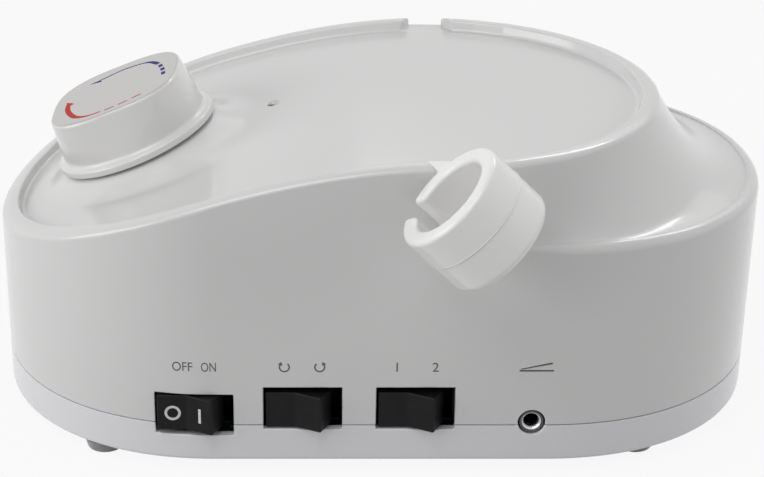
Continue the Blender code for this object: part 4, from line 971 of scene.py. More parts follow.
def rim_rings(rim, settings):
    """Over the tray rim, down its inner side and into the fillet of the floor."""
    edge, inner, fillet = settings.rim_round, settings.rim_inner_round, settings.floor_fillet
    lean = math.radians(72)
    stations = [(edge * RIM_SPREAD * (1 - math.cos(a)), edge * (1 - math.sin(a)))
                for a in angles_to(math.pi / 2)] + [(RIM_WIDTH * 0.65, 0)]
    stations += [(RIM_WIDTH - inner + inner * math.sin(a), inner * (1 - math.cos(a)))
                 for a in angles_to(lean)]
    fall = RIM_DEPTH - fillet * (1 - math.cos(lean))
    run = stations[-1][0] + (fall - stations[-1][1]) / math.tan(lean)
    stations += [(run + fillet * (math.sin(lean) - math.sin(a)),
                  RIM_DEPTH - fillet * (1 - math.cos(a))) for a in reversed(angles_to(lean))]
    return [rim_ring(inset(rim, inward), depth) for inward, depth in stations]


def shell_mesh(rings):
    """Joins rings into a sheet whose first ring is closed; returns the shape and its rows."""
    shape = bmesh.new()
    rows = [[shape.verts.new(p) for p in ring] for ring in rings]
    walled(shape, rows)
    close_by_strips(shape, rows[0])
    return shape, rows


def housing_mesh(settings):
    outer = outer_outline()
    rim = [rim_point(p) for p in outer]
    inner, inner_rim = inset(outer, WALL), inset(rim, WALL)
    foot = SEAM_HEIGHT + GAP / 2
    rings = [rim_ring(inner_rim, RIM_DEPTH + WALL)]
    for share in (0.12, 0.4, 0.8):
        rings.append([flank_point(r + (o - r) * share, r.x, share, lip_height(r.x), settings, WALL)
                      for o, r in zip(inner, inner_rim)])
    rings.append(level_ring(inner, foot))
    rings += [level_ring(inset(outer, SEAM_EDGE * inward), foot + SEAM_EDGE * rise)
              for inward, rise in ((1, 0), (0.3, 0.3), (0, 1))]
    rings += lip_rings(outer, rim, settings)
    rings += shoulder_rings(outer, rim, settings)
    rings += rim_rings(rim, settings)
    shape, rows = shell_mesh(rings)
    tray_floor(shape, rows[-1], settings.mound_blend)
    bmesh.ops.remove_doubles(shape, verts=shape.verts, dist=WELD)
    bmesh.ops.dissolve_degenerate(shape, edges=shape.edges, dist=WELD)
    return closed(shape)


def base_mesh():
    outer = outer_outline()
    inner = inset(outer, WALL)
    top = SEAM_HEIGHT - GAP / 2
    rings = [level_ring(inset(outer, BASE_EDGE * (1 - math.sin(a))),
                        FOOT_HEIGHT + BASE_EDGE * (1 - math.cos(a)))
             for a in angles_to(math.pi / 2)]
    rings += [level_ring(inset(outer, SEAM_EDGE * inward), top - SEAM_EDGE * fall)
              for inward, fall in ((0, 1), (0.3, 0.3), (1, 0))]
    rings += [level_ring(inner, top), level_ring(inner, FOOT_HEIGHT + WALL)]
    shape, rows = shell_mesh(rings)
    close_by_strips(shape, rows[-1])
    return closed(shape)


def flatten_wall(mesh):
    """Joins the strips of the straight front and back walls into whole flat faces."""
    shape = opened(mesh, False)
    for y in (0.0, BODY_DEPTH):
        faces = [f for f in shape.faces if all(abs(v.co.y - y) < 1e-7 for v in f.verts)]
        edges = {e for f in faces for e in f.edges if all(g in faces for g in e.link_faces)}
        bmesh.ops.dissolve_edges(shape, edges=list(edges), use_verts=False)
    return closed(shape, mesh)


def wall_openings():
    """Windows and the jack hole, which cross both shells."""
    half = WINDOW_WIDTH / 2
    return [block((x - half, -PAST, low), (x + half, WALL * 2, high))
            for x, low, high in zip(WINDOW_CENTRES, WINDOW_LOWS, WINDOW_HIGHS)] + [
        rod(JACK_HOLE, JACK - Vector((0, PAST, 0)), JACK + Vector((0, 0.0036, 0)), 72)]


def rear_openings():
    """The mains inlet's hole with its two screw holes, and the handpiece socket's hole."""
    deep, out = Vector((0, -WALL * 2, 0)), Vector((0, PAST, 0))
    corner = Vector((INLET_BODY[0] / 2 + GAP, 0, INLET_BODY[1] / 2 + GAP))
    ears = [INLET + Vector((x, 0, 0)) for x in (-EARS_PITCH / 2, EARS_PITCH / 2)]
    return [block(INLET - corner + deep, INLET + corner + out),
            *[screw_hole(ear + deep, ear + out) for ear in ears],
            rod(OUTLET_THREAD + GAP, OUTLET + deep, OUTLET + out)]


def lamp_hole():
    """A narrow hole down to the lens, with a shallow countersink."""
    throat = 0.0012
    profile = [(0, -0.0075), (throat, -0.0075), (throat, -0.0007), (throat + 0.00015, -0.00045),
               (throat + 0.0006, -0.0001), (throat + 0.0027, PAST), (0, PAST)]
    mesh = turned(profile, 48)
    mesh.transform(Matrix.Translation((LAMP.x, LAMP.y, rim_height(LAMP.x) - RIM_DEPTH)))
    return mesh


def notch(outer_y, inner_y):
    """A cutter for a dovetail that widens inwards through the rim."""
    slope = (NOTCH_INNER - NOTCH_OUTER) / 2 / RIM_WIDTH
    narrow = NOTCH_OUTER / 2 - slope * PAST
    wide = narrow + slope * abs(inner_y - outer_y)
    return prism([(NOTCH_X - narrow, outer_y), (NOTCH_X + narrow, outer_y),
                  (NOTCH_X + wide, inner_y), (NOTCH_X - wide, inner_y)],
                 BROW_HEIGHT - RIM_DEPTH + GAP / 2, BROW_HEIGHT + PAST)


def foot_places(height):
    return [Vector((x, y, height)) for y in (FOOT_INSET, BODY_DEPTH - FOOT_INSET) for x in FEET_X]


def screw_bosses():
    """Bosses hung from the tray and the shoulder, with the case screws' pilot holes."""
    low = SEAM_HEIGHT + GAP / 2
    bosses, holes = [], []
    for x, y, z in foot_places(low):
        under_tray = x < TRAY_CENTRE_X
        top = rim_height(x) - RIM_DEPTH - WALL / 2 if under_tray else LIP_HEIGHT - WALL / 2
        boss = rod(BOSS_RADIUS, (x, y, z), (x, y, top), 32)
        for vert in boss.vertices:
            if vert.co.z > z + WALL and under_tray:
                vert.co.z = rim_height(vert.co.x) - RIM_DEPTH - WALL / 2
        bosses.append(boss)
        holes.append(screw_hole((x, y, low - PAST), (x, y, BOSS_HOLE_TOP)))
    return bosses, holes


# Operators, one for each piece or group of like pieces

class Piece:
    """An operator that makes its pieces from one group of settings."""
    group = "shell"

    def execute(self, context):
        self.make(getattr(context.scene.micromotor, self.group))
        return {"FINISHED"}


class MICROMOTOR_OT_housing(Piece, bpy.types.Operator):
    """Loft the upper housing with its tray, mound, shoulder, windows and notches"""
    bl_idname = "micromotor.housing"
    bl_label = "Upper Housing"

    def make(self, settings):
        bosses, holes = screw_bosses()
        mesh = flatten_wall(unmarked(carved(housing_mesh(settings), together(bosses), "UNION")))
        bush = rod(BUSH_HOLE, KNOB_FRAME @ Vector((0, 0, -BUSH_DEPTH)),
                   KNOB_FRAME @ Vector((0, 0, PAST)))
        tools = wall_openings() + holes + [bush, lamp_hole()] + rear_openings()
        mesh = unmarked(soften(carved(mesh, together(tools)), settings.opening_round, True))
        reach = RIM_WIDTH + NOTCH_RUN_OUT
        notches = [notch(-PAST, reach), notch(BODY_DEPTH + PAST, BODY_DEPTH - reach)]
        mesh = soften(carved(mesh, together(notches)), settings.notch_round, True, segments=2)
        fit("housing_shell", shaded(mesh), "white_shell", ["upper_housing"])


def screw_place(node):
    """A screw's place in the plan, and a little under its tip."""
    near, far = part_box(node)
    return (near.x + far.x) / 2 - SHIFT.x, (near.y + far.y) / 2 - SHIFT.y, near.z - GAP


class MICROMOTOR_OT_base(Piece, bpy.types.Operator):
    """Loft the base tray with its board pillars and openings"""
    bl_idname = "micromotor.base"
    bl_label = "Base Tray"

    def make(self, settings):
        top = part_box("control_board")[0].z - GAP
        pillars, holes = [], []
        for corner in CORNERS:
            x, y, low = screw_place("board_screw_" + corner)
            pillars.append(rod(PILLAR_RADIUS, (x, y, FOOT_HEIGHT + WALL / 2), (x, y, top), 32))
            holes.append(screw_hole((x, y, low), (x, y, top + PAST)))
        for side in ("left", "right"):
            x, y, low = screw_place("transformer_screw_" + side)
            holes.append(screw_hole((x, y, low), (x, y, FOOT_HEIGHT + WALL + PAST)))
        holes += [screw_hole((x, y, z), (x, y, FOOT_HOLE_TOP)) for x, y, z in foot_places(0)]
        mesh = flatten_wall(unmarked(carved(base_mesh(), together(pillars), "UNION")))
        mesh = carved(mesh, together(wall_openings() + holes))
        mesh = shaded(soften(mesh, settings.opening_round, True))
        fit("base_shell", mesh, "base_white", ["base_tray"])


def screw_mesh(length):
    """A round-headed screw with a cross recess; its head stands on the origin."""
    head, crown, pitch = 0.0028, SCREW_CROWN, 0.0007
    thread = []
    for i in range(int((length - 2 * SCREW_RADIUS) / pitch)):
        z = -0.0004 - i * pitch
        thread += [(SCREW_RADIUS * 0.82, z - pitch / 2), (SCREW_RADIUS, z)]
    thread.reverse()
    profile = [(0, -length), (SCREW_RADIUS * 0.8, -length + SCREW_RADIUS)] + thread
    profile += [(SCREW_RADIUS, 0), (head - 0.0006, 0)]
    profile += arc((head - 0.0005, 0.0005), 0.0005, -60, 30)
    profile += [(head * share, crown - 0.0007 * share * share)
                for share in (0.8, 0.6, 0.4, 0.2, 0.0)]
    mesh = turned(profile, 32)
    for x, y in ((0.0017, 0.0003), (0.0003, 0.0017)):
        mesh = carved(mesh, block((-x, -y, crown - 0.0009), (x, y, crown + 0.001)))
    return shaded(outward(mesh), 40)


def set_out(name, mesh, points, turn, slot, nodes):
    """Fits one mesh set out on several points by the set_out_form tree."""
    pattern = bench(name + "_pattern", mesh)
    made = grown(points_mesh(points), set_out_form,
                 {"Piece": pattern, "Turn": turn, "Material": finish_for(slot)})
    bpy.data.objects.remove(pattern)
    fit(name, made, slot, nodes)


class MICROMOTOR_OT_feet(Piece, bpy.types.Operator):
    """Turn one rubber foot and one case screw, and set them out at the four corners"""
    bl_idname = "micromotor.feet"
    bl_label = "Feet and Case Screws"

    def make(self, settings):
        top = FOOT_HEIGHT - GAP
        seat, bore = top - 0.0009, SCREW_RADIUS + GAP
        profile = [(bore, seat), (bore, top)] + arc((0.0056, top - 0.0002), 0.0002, 90, 0, 3)
        profile += [(0.00565, 0.0022)] + arc((0.0045, 0.0007), 0.0007, -10, -90)
        profile += [(0.0036, 0), (0.0034, 0.0002), (0.0034, seat), (bore, seat)]
        set_out("rubber_feet", shaded(turned(profile), 40), foot_places(0), (0.0, 0.0, 0.0),
                "foot_rubber", ["foot_" + corner for corner in CORNERS])
        set_out("case_screws", screw_mesh(0.0160), foot_places(seat - GAP), (math.pi, 0.0, 0.0),
                "bright_steel", ["case_screw_" + corner for corner in CORNERS])


def knob_profile(settings):
    """Bore, recess, flange, waist fillet, wall and rounded cap as (radius, height) pairs."""
    flange, edge, fillet = FLANGE_RADIUS, 0.0016, settings.waist_fillet
    pairs = [(0, 0.0128), (0.0049, 0.0128), (0.0049, 0.0046), (0.0082, 0.0046), (0.0082, 0.0003),
             (0.0085, 0)]
    pairs += arc((flange - 0.0004, 0.0004), 0.0004, -90, 0)
    pairs += arc((flange - 0.0006, edge - 0.0001), 0.0006, 0, 78)
    pairs += [(KNOB_WAIST + fillet - fillet * math.sin(math.radians(a)),
               edge + 0.0007 + fillet * (1 - math.cos(math.radians(a))))
              for a in (15, 30, 45, 60, 75, 90)]
    low, high = pairs[-1][1], KNOB_HEIGHT - settings.edge_round
    pairs += [(KNOB_WAIST, low + (high - low) * i / 14) for i in range(1, 15)]
    pairs += arc((KNOB_WAIST - settings.edge_round, high), settings.edge_round, 15, 90)
    pairs += [(KNOB_WAIST * share, KNOB_HEIGHT) for share in (0.85, 0.7, 0.5, 0.25, 0.0)]
    return pairs


def in_mm(points):
    return [tuple(side * 0.001 for side in point) for point in points]


class MICROMOTOR_OT_knob(Piece, bpy.types.Operator):
    """Turn the speed knob from round flange to full cap, and ink its two marks"""
    bl_idname = "micromotor.knob"
    bl_label = "Speed Knob"
    group = "knob"

    def make(self, settings):
        mesh = turned(knob_profile(settings), settings.steps, settings.fullness,
                      settings.across / KNOB_WAIST, settings.deep / KNOB_WAIST, 0.0028,
                      KNOB_HEIGHT - settings.edge_round, 0.0090)
        fit("knob_cap", shaded(mesh, 60), "knob_white", ["speed_knob"], "knob", KNOB_FRAME)
        self.mark("blue", 0.75, 0.6, 0.85, 0, (2.4, 1.25),
                  [(-5.9, 12.7), (-2.8, 13.5), (-0.4, 14.2), (1.8, 14.4), (4.0, 14.1), (6.2, 13.6),
                   (8.4, 12.8), (10.2, 11.4), (11.7, 9.3), (13.0, 6.9)],
                  [(-9.2, 12.5), (-5.2, 10.9), (-5.8, 12.4), (-5.8, 12.9)],
                  [(13.9, 4.2), (14.8, 0.4), (15.3, -3.6)])
        self.mark("red", 1.0, 0.86, 0.48, 0.00001, (2.8, 0.6),
                  [(-14.5, 1.6), (-14.6, -1.8), (-13.9, -5.8), (-12.5, -9.9), (-10.8, -13.2),
                   (-8.0, -15.7), (-5.4, -16.5), (-2.8, -16.8)],
                  [(-15.4, 3.2), (-12.7, -0.2), (-13.6, -0.6), (-15.3, 0.2)],
                  [(-0.1, -16.9), (3.95, -16.45), (7.9, -15.3)])

    def mark(self, ink, swell, thin, full, lift, dash, line, start, dots):
        """An inked line that swells from one share of its length to another, with its start and
        its dashes, all in millimetres over the cap."""
        low, high = KNOB_HEIGHT - INK, KNOB_HEIGHT + INK
        path = smooth_path(line)
        wide = [0.00062 + 0.001 * swell * min(max((i / len(path) - thin) / (full - thin), 0), 1)
                for i in range(len(path))]
        along = points_mesh([(x, y, KNOB_HEIGHT) for x, y in in_mm(dots)], True)
        dashes = grown(along, dashes_form, {
            "Count": len(dots), "Size": (*in_mm([dash])[0], 2 * INK),
            "Material": finish_for(ink + "_print")})
        parts = [ribbon(in_mm(path), wide, low, high), prism(in_mm(start), low, high + lift),
                 dashes]
        fit("knob_mark_" + ink, together(parts), ink + "_print", (), "knob", KNOB_FRAME)


def sleeve_section(settings, shrink, ridge):
    """The sleeve's wall section as (radius, distance) pairs, shrunk for the rounded slot ends."""
    front, rear = [max(size - shrink, 0.0001) for size in (settings.front_round,
                                                           settings.rear_round)]
    low, high = shrink, SLEEVE_LENGTH - shrink
    inner, outer = SLEEVE_BORE + shrink, SLEEVE_RADIUS - shrink
    rear = min(rear, outer - inner - front)
    pairs = arc((inner + front, low + front), front, 270, 180)
    pairs += arc((inner + front, high - front), front, 180, 90)
    pairs += arc((outer - rear, high - rear), rear, 90, 0, 8)
    pairs += [(outer + rise, settings.parting + offset) for offset, rise in (
        (0.00024, 0), (0.00010, ridge), (-0.00010, ridge), (-0.00024, 0))]
    return pairs + arc((outer - front, low + front), front, 0, -90)


def sleeve_mesh(settings):
    """The slotted sleeve, swept round with its two ends rounded off beside the slot."""
    steps, curl, sweep = 120, settings.slot_round, math.pi * 0.86
    stations = [(curl * (1 - math.sin(bite)), curl * (1 - math.cos(bite)))
                for bite in [math.radians(90 * (1 - i / 6)) for i in range(7)]]
    path = [(-math.pi, back, shrink) for back, shrink in stations]
    path += [((2 * i / steps - 1) * sweep, None, 0) for i in range(steps + 1)]
    path += [(math.pi, back, shrink) for back, shrink in reversed(stations)]
    shape = bmesh.new()
    rows = []
    for turn, back, shrink in path:
        row = []
        for radius, along in sleeve_section(settings, shrink, 0.00018):
            angle = SLOT_ANGLE + math.pi + turn
            if back is not None:
                gap = (SLOT_WIDTH / 2 + back) / radius
                angle = SLOT_ANGLE + (math.tau - gap if turn > 0 else gap)
            row.append(shape.verts.new((radius * math.cos(angle), radius * math.sin(angle),
                                        along)))
        rows.append(row)
    return capped(shape, rows)


class MICROMOTOR_OT_holder(Piece, bpy.types.Operator):
    """Sweep the handpiece holder's sleeve and join its neck and dovetail"""
    bl_idname = "micromotor.holder"
    bl_label = "Handpiece Holder"
    group = "holder"

    def make(self, settings):
        sleeve = sleeve_mesh(settings)
        sleeve.transform(SLEEVE_FRAME)
        play = GAP * 1.2
        narrow, wide = NOTCH_OUTER / 2 - play, NOTCH_INNER / 2 - play
        neck = block((NOTCH_X - narrow, -0.0042, BROW_HEIGHT - 0.0105),
                     (NOTCH_X + narrow, -0.0002, BROW_HEIGHT))
        tail = prism([(NOTCH_X - narrow, -0.0006), (NOTCH_X + narrow, -0.0006),
                      (NOTCH_X + wide, 0.0044), (NOTCH_X - wide, 0.0044)],
                     BROW_HEIGHT - RIM_DEPTH + GAP, BROW_HEIGHT)
        grip = soften(outward(carved(neck, tail, "UNION")), 0.0005)
        mesh = shaded(outward(carved(sleeve, grip, "UNION")), 55)
        fit("holder_sleeve", mesh, "holder_white", ["handpiece_holder"], "holder")


class MICROMOTOR_OT_rockers(Piece, bpy.types.Operator):
    """Shape the three folded rockers and print the power rocker's marks"""
    bl_idname = "micromotor.rockers"
    bl_label = "Rocker Switches"
    group = "switch"

    def make(self, settings):
        sine, cosine = math.sin(ROCKER_TILT), math.cos(ROCKER_TILT)
        tip = (ROCKER_HALF * cosine, -ROCKER_FOLD - ROCKER_HALF * sine)
        flare = (tip[0] + ROCKER_FLARE * sine, tip[1] + ROCKER_FLARE * cosine)
        side = [tip, flare, ROCKER_BACK, (ROCKER_HUB, ROCKER_HUB)]
        outline = [(0, -ROCKER_FOLD)] + side + [(-x, y) for x, y in reversed(side)]
        half, reach = ROCKER_HEIGHT / 2, ROCKER_HEIGHT / 2 + 0.0012
        for switch, x, z in zip(SWITCHES, WINDOW_CENTRES, ROCKER_MIDDLES):
            place = Matrix.Translation((x, ROCKER_PIVOT_Y, z)) @ Matrix.Rotation(
                -ROCKER_TILT, 4, "Z")
            shell = soften(prism(outline, -half, half), settings.rocker_round, least=8)
            pin = soften(rod(0.0012, (0, 0, -reach), (0, 0, reach), 24), 0.0001)
            fit("rocker_key_" + switch, shaded(outward(carved(shell, pin, "UNION")), 40),
                "switch_black", ["rocker_" + switch], switch + "_rocker", place)
            if switch == "power":
                self.marks(settings, place, math.atan2(tip[1] + ROCKER_FOLD, tip[0]))

    def marks(self, settings, place, slope):
        """The ring and the bar printed on the two halves of the power rocker."""
        stroke = settings.stroke
        radius = settings.ring_radius - stroke / 2
        circle = [(radius * math.cos(a), radius * math.sin(a)) for a in angles_to(math.tau, 48)]
        ring = ribbon(circle, [stroke] * 49, 0, 2 * INK)
        bar = ribbon([(0, -0.00215), (0, 0.00215)], [stroke * 1.1] * 2, 0, 2 * INK)
        for mesh, along, lean, name in ((ring, -0.0036, -slope, "off"), (bar, 0.0042, slope, "on")):
            mesh.transform(
                Matrix.Translation((along * math.cos(lean),
                                    -ROCKER_FOLD + along * math.sin(lean) - INK, 0))
                @ Matrix.Rotation(lean, 4, "Z") @ STANDING)
            fit("rocker_mark_" + name, mesh, "switch_print", (), "power_rocker", place)


class MICROMOTOR_OT_switch_cases(Piece, bpy.types.Operator):
    """Round the edges of the three switch cases seen through the windows"""
    bl_idname = "micromotor.switch_cases"
    bl_label = "Switch Cases"

    def make(self, settings):
        half_x, half_z = WINDOW_WIDTH / 2 - GAP, ROCKER_HEIGHT / 2 + GAP
        for switch, x, z in zip(SWITCHES, WINDOW_CENTRES, ROCKER_MIDDLES):
            room = block((x - half_x, 0, z - half_z), (x + half_x, 0.0140, z + half_z))
            refit("switch_case_" + switch, "switch_body_" + switch, "switch_black", 0.00015,
                  tool=room)


class MICROMOTOR_OT_jack(Piece, bpy.types.Operator):
    """Turn the pedal jack's ring and its bright throat"""
    bl_idname = "micromotor.jack"
    bl_label = "Pedal Jack"

    def make(self, settings):
        place = Matrix.Translation(JACK) @ STANDING
        back = -0.0045
        ring = [(0.0028, back), (0.0033, back), (0.0033, -0.0008)]
        ring += arc((0.0031, -0.0007), 0.0002, 0, 90, 3)
        ring += arc((0.0029, -0.0007), 0.0002, 90, 180, 3) + [(0.0027, -0.0010), (0.0028, back)]
        throat = [(0.0019, back), (0.00275, back), (0.00268, -0.0009)]
        throat += arc((0.00258, -0.0009), 0.0001, 0, 130, 3)
        throat += [(0.0020, -0.0015), (0.0019, -0.0018), (0.0019, back)]
        # The jack ring's nickel is darkened with painted shade and painted dark reflection
        fit("jack_ring", shaded(turned(ring, 72), 40), "dark_nickel", ["jack_bush"], place=place)
        fit("jack_throat", shaded(turned(throat, 72), 40), "bright_steel", place=place)
        refit("jack_case", "jack_body", "black_moulding", 0.0002)


class MICROMOTOR_OT_lamp(Piece, bpy.types.Operator):
    """Turn the indicator's lens"""
    bl_idname = "micromotor.lamp"
    bl_label = "Indicator"

    def make(self, settings):
        low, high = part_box("indicator_lens")
        wide, flange, dome, fall = 0.0026, low.z + 0.0010, 0.00112, 0.0004
        profile = [(0, low.z), (wide, low.z), (wide, flange), (dome, flange),
                   (dome, high.z - fall)]
        profile += [(dome * share, high.z - fall * share ** 2)
                    for share in (0.95, 0.8, 0.6, 0.4, 0.2, 0.0)]
        fit("lamp_window", shaded(turned(profile, 40), 40), "lamp_lens", ["indicator_lens"],
            place=Matrix.Translation((LAMP.x, LAMP.y, 0)))


class MICROMOTOR_OT_inlet(Piece, bpy.types.Operator):
    """Round the mains inlet, its blades and fuse drawer, and set out its screws"""
    bl_idname = "micromotor.inlet"
    bl_label = "Mains Inlet"

    def make(self, settings):
        refit("inlet_moulding", "mains_inlet", "black_moulding", 0.0004, 3)
        for blade in ("line", "neutral", "earth"):
            refit("blade_" + blade, "inlet_blade_" + blade, "brass", 0.0006, 3)
        refit("drawer_moulding", "fuse_drawer", "black_moulding", 0.0003, 3, body="drawer")
        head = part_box("inlet_screw_left")[1].y - SCREW_CROWN - SHIFT.y
        places = [(INLET.x + x, head, INLET.z) for x in (-EARS_PITCH / 2, EARS_PITCH / 2)]
        set_out("inlet_screws", screw_mesh(0.0050), places, (-math.pi / 2, 0.0, 0.0),
                "bright_steel", ["inlet_screw_left", "inlet_screw_right"])


class MICROMOTOR_OT_outlet(Piece, bpy.types.Operator):
    """Turn the handpiece socket's shell and stand its contact pins"""
    bl_idname = "micromotor.outlet"
    bl_label = "Handpiece Socket"

    def make(self, settings):
        place = Matrix.Translation(OUTLET) @ Matrix.Rotation(-math.pi / 2, 4, "X")
        top = GAP + OUTLET_COLLAR
        low = top - OUTLET_LENGTH
        bore, flange, thread, pitch = OUTLET_BORE, OUTLET_FLANGE, OUTLET_THREAD, 0.0006
        profile = [(bore, low), (thread - 0.0003, low), (thread, low + 0.0003)]
        z = low + pitch
        while z < -WALL - 2 * pitch:
            profile += [(thread, z), (thread - 0.00035, z + pitch / 2)]
            z += pitch
        profile += [(thread, -WALL - 0.0004), (thread, GAP), (flange - 0.0003, GAP)]
        profile += arc((flange - 0.0004, top - 0.0004), 0.0004, -20, 90)
        profile += [(flange - 0.0014, top), (flange - 0.0017, top - 0.0003),
                    (flange - 0.0020, top - 0.0003), (flange - 0.0023, top), (bore + 0.0005, top),
                    (bore + 0.0001, top - 0.0003), (bore, top - 0.0006), (bore, low)]
        fit("socket_shell", shaded(turned(profile, 96), 35), "bright_steel", ["outlet_shell"],
            place=place)
        refit("socket_insert", "outlet_insert", "black_moulding", 0.0001)
        pins = grown(points_mesh([(0, 0, 0)]), pin_ring_form, {
            "Pins": 5, "Circle Radius": 0.0036, "Pin Radius": 0.0007, "Pin Length": 0.0036,
            "Material": finish_for("brass")})
        fit("socket_pins", shaded(outward(pins), 40), "brass",
            place=place @ Matrix.Translation((0, 0, top - 0.0072)))


def word(text, height, low, left, right=None):
    """A generic word as a thin mesh; where right is given it is spread between two places."""
    curve = bpy.data.curves.new(text, "FONT")
    curve.body = text
    curve.size = height / 0.7
    curve.extrude = INK
    mesh = worked(bench(text, curve))
    xs = [v.co.x for v in mesh.vertices]
    ys = [v.co.y for v in mesh.vertices]
    if right is None:
        right = left + (max(xs) - min(xs)) * height / (max(ys) - min(ys))
    for vert in mesh.vertices:
        share = (vert.co.x - min(xs)) / (max(xs) - min(xs))
        rise = (vert.co.y - min(ys)) / (max(ys) - min(ys))
        vert.co = Vector((left + (right - left) * share, -vert.co.z, low + height * rise))
    return mesh


def round_arrow(x, z, turn):
    """An open circle with an arrow head, drawn on the wall; turn is 1 or -1."""
    radius, stroke = 0.0013, 0.0004
    angles = [math.radians(90 - turn * (40 + i * 260 / 24)) for i in range(25)]
    path = [(radius * math.cos(a), radius * math.sin(a)) for a in angles]
    tip = Vector(path[-1])
    ahead = (tip - Vector(path[-3])).normalized()
    side = Vector((-ahead.y, ahead.x)) * stroke * 1.6
    head = [tip + side, tip - side, tip + ahead * stroke * 2.6]
    mesh = together([ribbon(path, [stroke] * len(path), -INK, INK), prism(head, -INK, INK)])
    mesh.transform(Matrix.Translation((x, 0, z)) @ STANDING)
    return mesh


class MICROMOTOR_OT_labels(Piece, bpy.types.Operator):
    """Print the generic words and signs above the switches and the jack"""
    bl_idname = "micromotor.labels"
    bl_label = "Wall Labels"
    group = "switch"

    def make(self, settings):
        low, height = LABELS_LOW, settings.letter_height
        middle = low + height / 2
        foot = [(-4.6, -1.3), (4.6, -1.3), (4.6, -0.8), (-4.6, -0.8)]
        tread = [(-4.4, -0.5), (-4.0, -0.7), (4.1, 0.9), (4.2, 1.3), (3.8, 1.4)]
        pedal = together([prism(in_mm(side), -INK, INK) for side in (foot, tread)])
        pedal.transform(Matrix.Translation((JACK.x + 0.0006, 0, middle)) @ STANDING)
        mesh = together([
            word("OFF", height, low, -0.0561, -0.0507), word("ON", height, low, -0.0484, -0.0444),
            round_arrow(-0.0262, middle, 1), round_arrow(-0.0168, middle, -1),
            word("1", height, low, 0.0036), word("2", height, low, 0.0132), pedal])
        for vert in mesh.vertices:
            vert.co.y += wall_front(vert.co.x)
        fit("wall_labels", mesh, "wall_print")


class MICROMOTOR_OT_inside(Piece, bpy.types.Operator):
    """Give every node that keeps its own form its finish"""
    bl_idname = "micromotor.inside"
    bl_label = "Inside Parts"

    def make(self, settings):
        for node in sorted(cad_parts):
            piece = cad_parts[node]
            slot = piece.data.materials[0].name.split(".")[0]
            piece.data.materials[0] = finish_for(slot)


def seen(tree):
    """1 where the camera sees a surface itself, in a gloss or through glass."""
    rays = add_node(tree, "ShaderNodeLightPath", {}).outputs
    direct = math_of(tree, "MAXIMUM", rays["Is Camera Ray"], rays["Is Glossy Ray"])
    return math_of(tree, "MAXIMUM", direct, rays["Is Transmission Ray"])


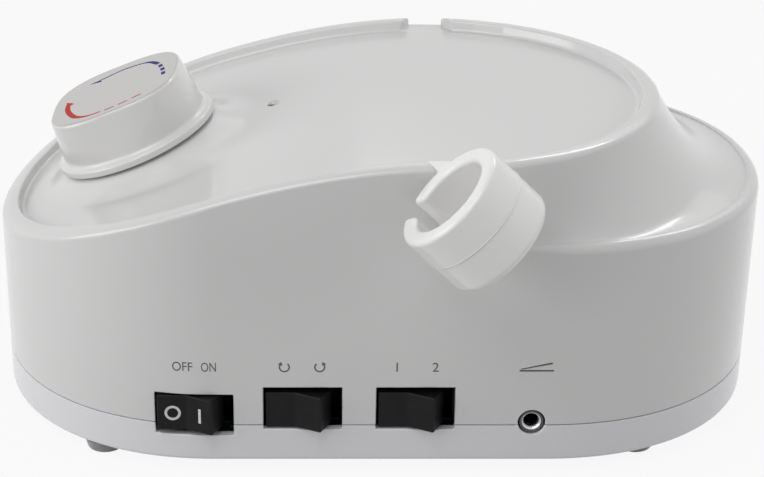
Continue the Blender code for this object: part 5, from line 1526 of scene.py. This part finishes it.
class MICROMOTOR_OT_stage(Piece, bpy.types.Operator):
    """Lay the pale floor, set the soft lamps, the white surroundings and the camera"""
    bl_idname = "micromotor.stage"
    bl_label = "Stage"
    group = "stage"

    def make(self, settings):
        bpy.context.scene.view_settings.view_transform = "Standard"
        self.floor(settings)
        self.surroundings(settings)
        for lamp in LAMPS:
            self.lamp(settings, *lamp)
        camera = bpy.data.cameras.new("photo_camera")
        camera.sensor_width = 36.0
        camera.lens = settings.lens
        camera.shift_x = PHOTO_OFFSET / PHOTO_WIDTH
        holder = bench("photo_camera", camera)
        holder.rotation_euler = (CAMERA_TILT, 0, 0)
        holder.location = CAMERA_PLACE + SHIFT
        bpy.context.scene.camera = holder

    def floor(self, settings):
        shape = bmesh.new()
        bmesh.ops.create_grid(shape, x_segments=24, y_segments=24, size=3.0)
        made, tree, shader, place = blank_finish("floor_white")
        pale = tuple(settings.floor)
        feed(tree, shader, {
            "Base Color": two_tone(tree, cloud_of(tree, place, 0.4), tinted(pale, 0.995), pale),
            "Roughness": 0.9, "Specular IOR Level": 0.0})
        glow = first_of(tree, "ShaderNodeEmission", {"Color": (1, 1, 1, 1), "Strength": 1.0})
        share = math_of(tree, "MULTIPLY", seen(tree), settings.floor_glow)
        mixed = first_of(tree, "ShaderNodeMixShader", {0: share, 1: shader.outputs[0], 2: glow})
        feed(tree, tree.nodes["Material Output"], {"Surface": mixed})
        floor = bench("floor", closed(shape, bpy.data.meshes.new("floor")))
        floor.data.materials.append(made)

    def surroundings(self, settings):
        world = bpy.data.worlds.new("surroundings")
        bpy.context.scene.world = world
        world.use_nodes = True
        tree = world.node_tree
        soft = tree.nodes["Background"]
        feed(tree, soft, {0: (1, 1, 1, 1), 1: settings.ambient})
        white = first_of(tree, "ShaderNodeBackground", {0: (1, 1, 1, 1), 1: 1.0})
        mixed = first_of(tree, "ShaderNodeMixShader", {0: seen(tree), 1: soft.outputs[0],
                                                       2: white})
        feed(tree, tree.nodes["World Output"], {"Surface": mixed})

    def lamp(self, settings, name, place, target, width, height):
        """A soft box; the right one doesn't show in gloss, where its edges would be hard."""
        light = bpy.data.lights.new(name + "_lamp", "AREA")
        light.shape = "RECTANGLE"
        light.size, light.size_y = width, height
        light.energy = getattr(settings, name)
        holder = bench(name + "_lamp", light)
        holder.location = place
        aim = Vector(target) - Vector(place)
        holder.rotation_euler = aim.to_track_quat("-Z", "Y").to_euler()
        holder.visible_glossy = name != "right"


PIECES = (MICROMOTOR_OT_housing, MICROMOTOR_OT_base, MICROMOTOR_OT_feet, MICROMOTOR_OT_knob,
          MICROMOTOR_OT_holder, MICROMOTOR_OT_rockers, MICROMOTOR_OT_switch_cases,
          MICROMOTOR_OT_jack, MICROMOTOR_OT_lamp, MICROMOTOR_OT_inlet, MICROMOTOR_OT_outlet,
          MICROMOTOR_OT_labels, MICROMOTOR_OT_inside, MICROMOTOR_OT_stage)


class MICROMOTOR_PT_panel(bpy.types.Panel):
    """Lists the pieces and their settings in the sidebar"""
    bl_idname = "MICROMOTOR_PT_panel"
    bl_label = "Micromotor"
    bl_space_type = "VIEW_3D"
    bl_region_type = "UI"
    bl_category = "Micromotor"

    def draw(self, context):
        column = self.layout.column(align=True)
        for piece in PIECES:
            column.operator(piece.bl_idname)
        settings = context.scene.micromotor
        for group in ("shell", "knob", "holder", "switch", "finish", "stage"):
            box = self.layout.box()
            box.label(text=group.capitalize())
            for item in getattr(settings, group).bl_rna.properties:
                if item.identifier not in ("rna_type", "name"):
                    box.prop(getattr(settings, group), item.identifier)


CLASSES = (ShellSettings, KnobSettings, HolderSettings, SwitchSettings, FinishSettings,
           StageSettings, MicromotorSettings) + PIECES + (MICROMOTOR_PT_panel,)


def register():
    for item in CLASSES:
        bpy.utils.register_class(item)
    bpy.types.Scene.micromotor = bpy.props.PointerProperty(type=MicromotorSettings)


def unregister():
    del bpy.types.Scene.micromotor
    for item in reversed(CLASSES):
        bpy.utils.unregister_class(item)


def main():
    register()
    for piece in PIECES:
        group, name = piece.bl_idname.split(".")
        getattr(getattr(bpy.ops, group), name)()


if __name__ == "__main__":
    main()
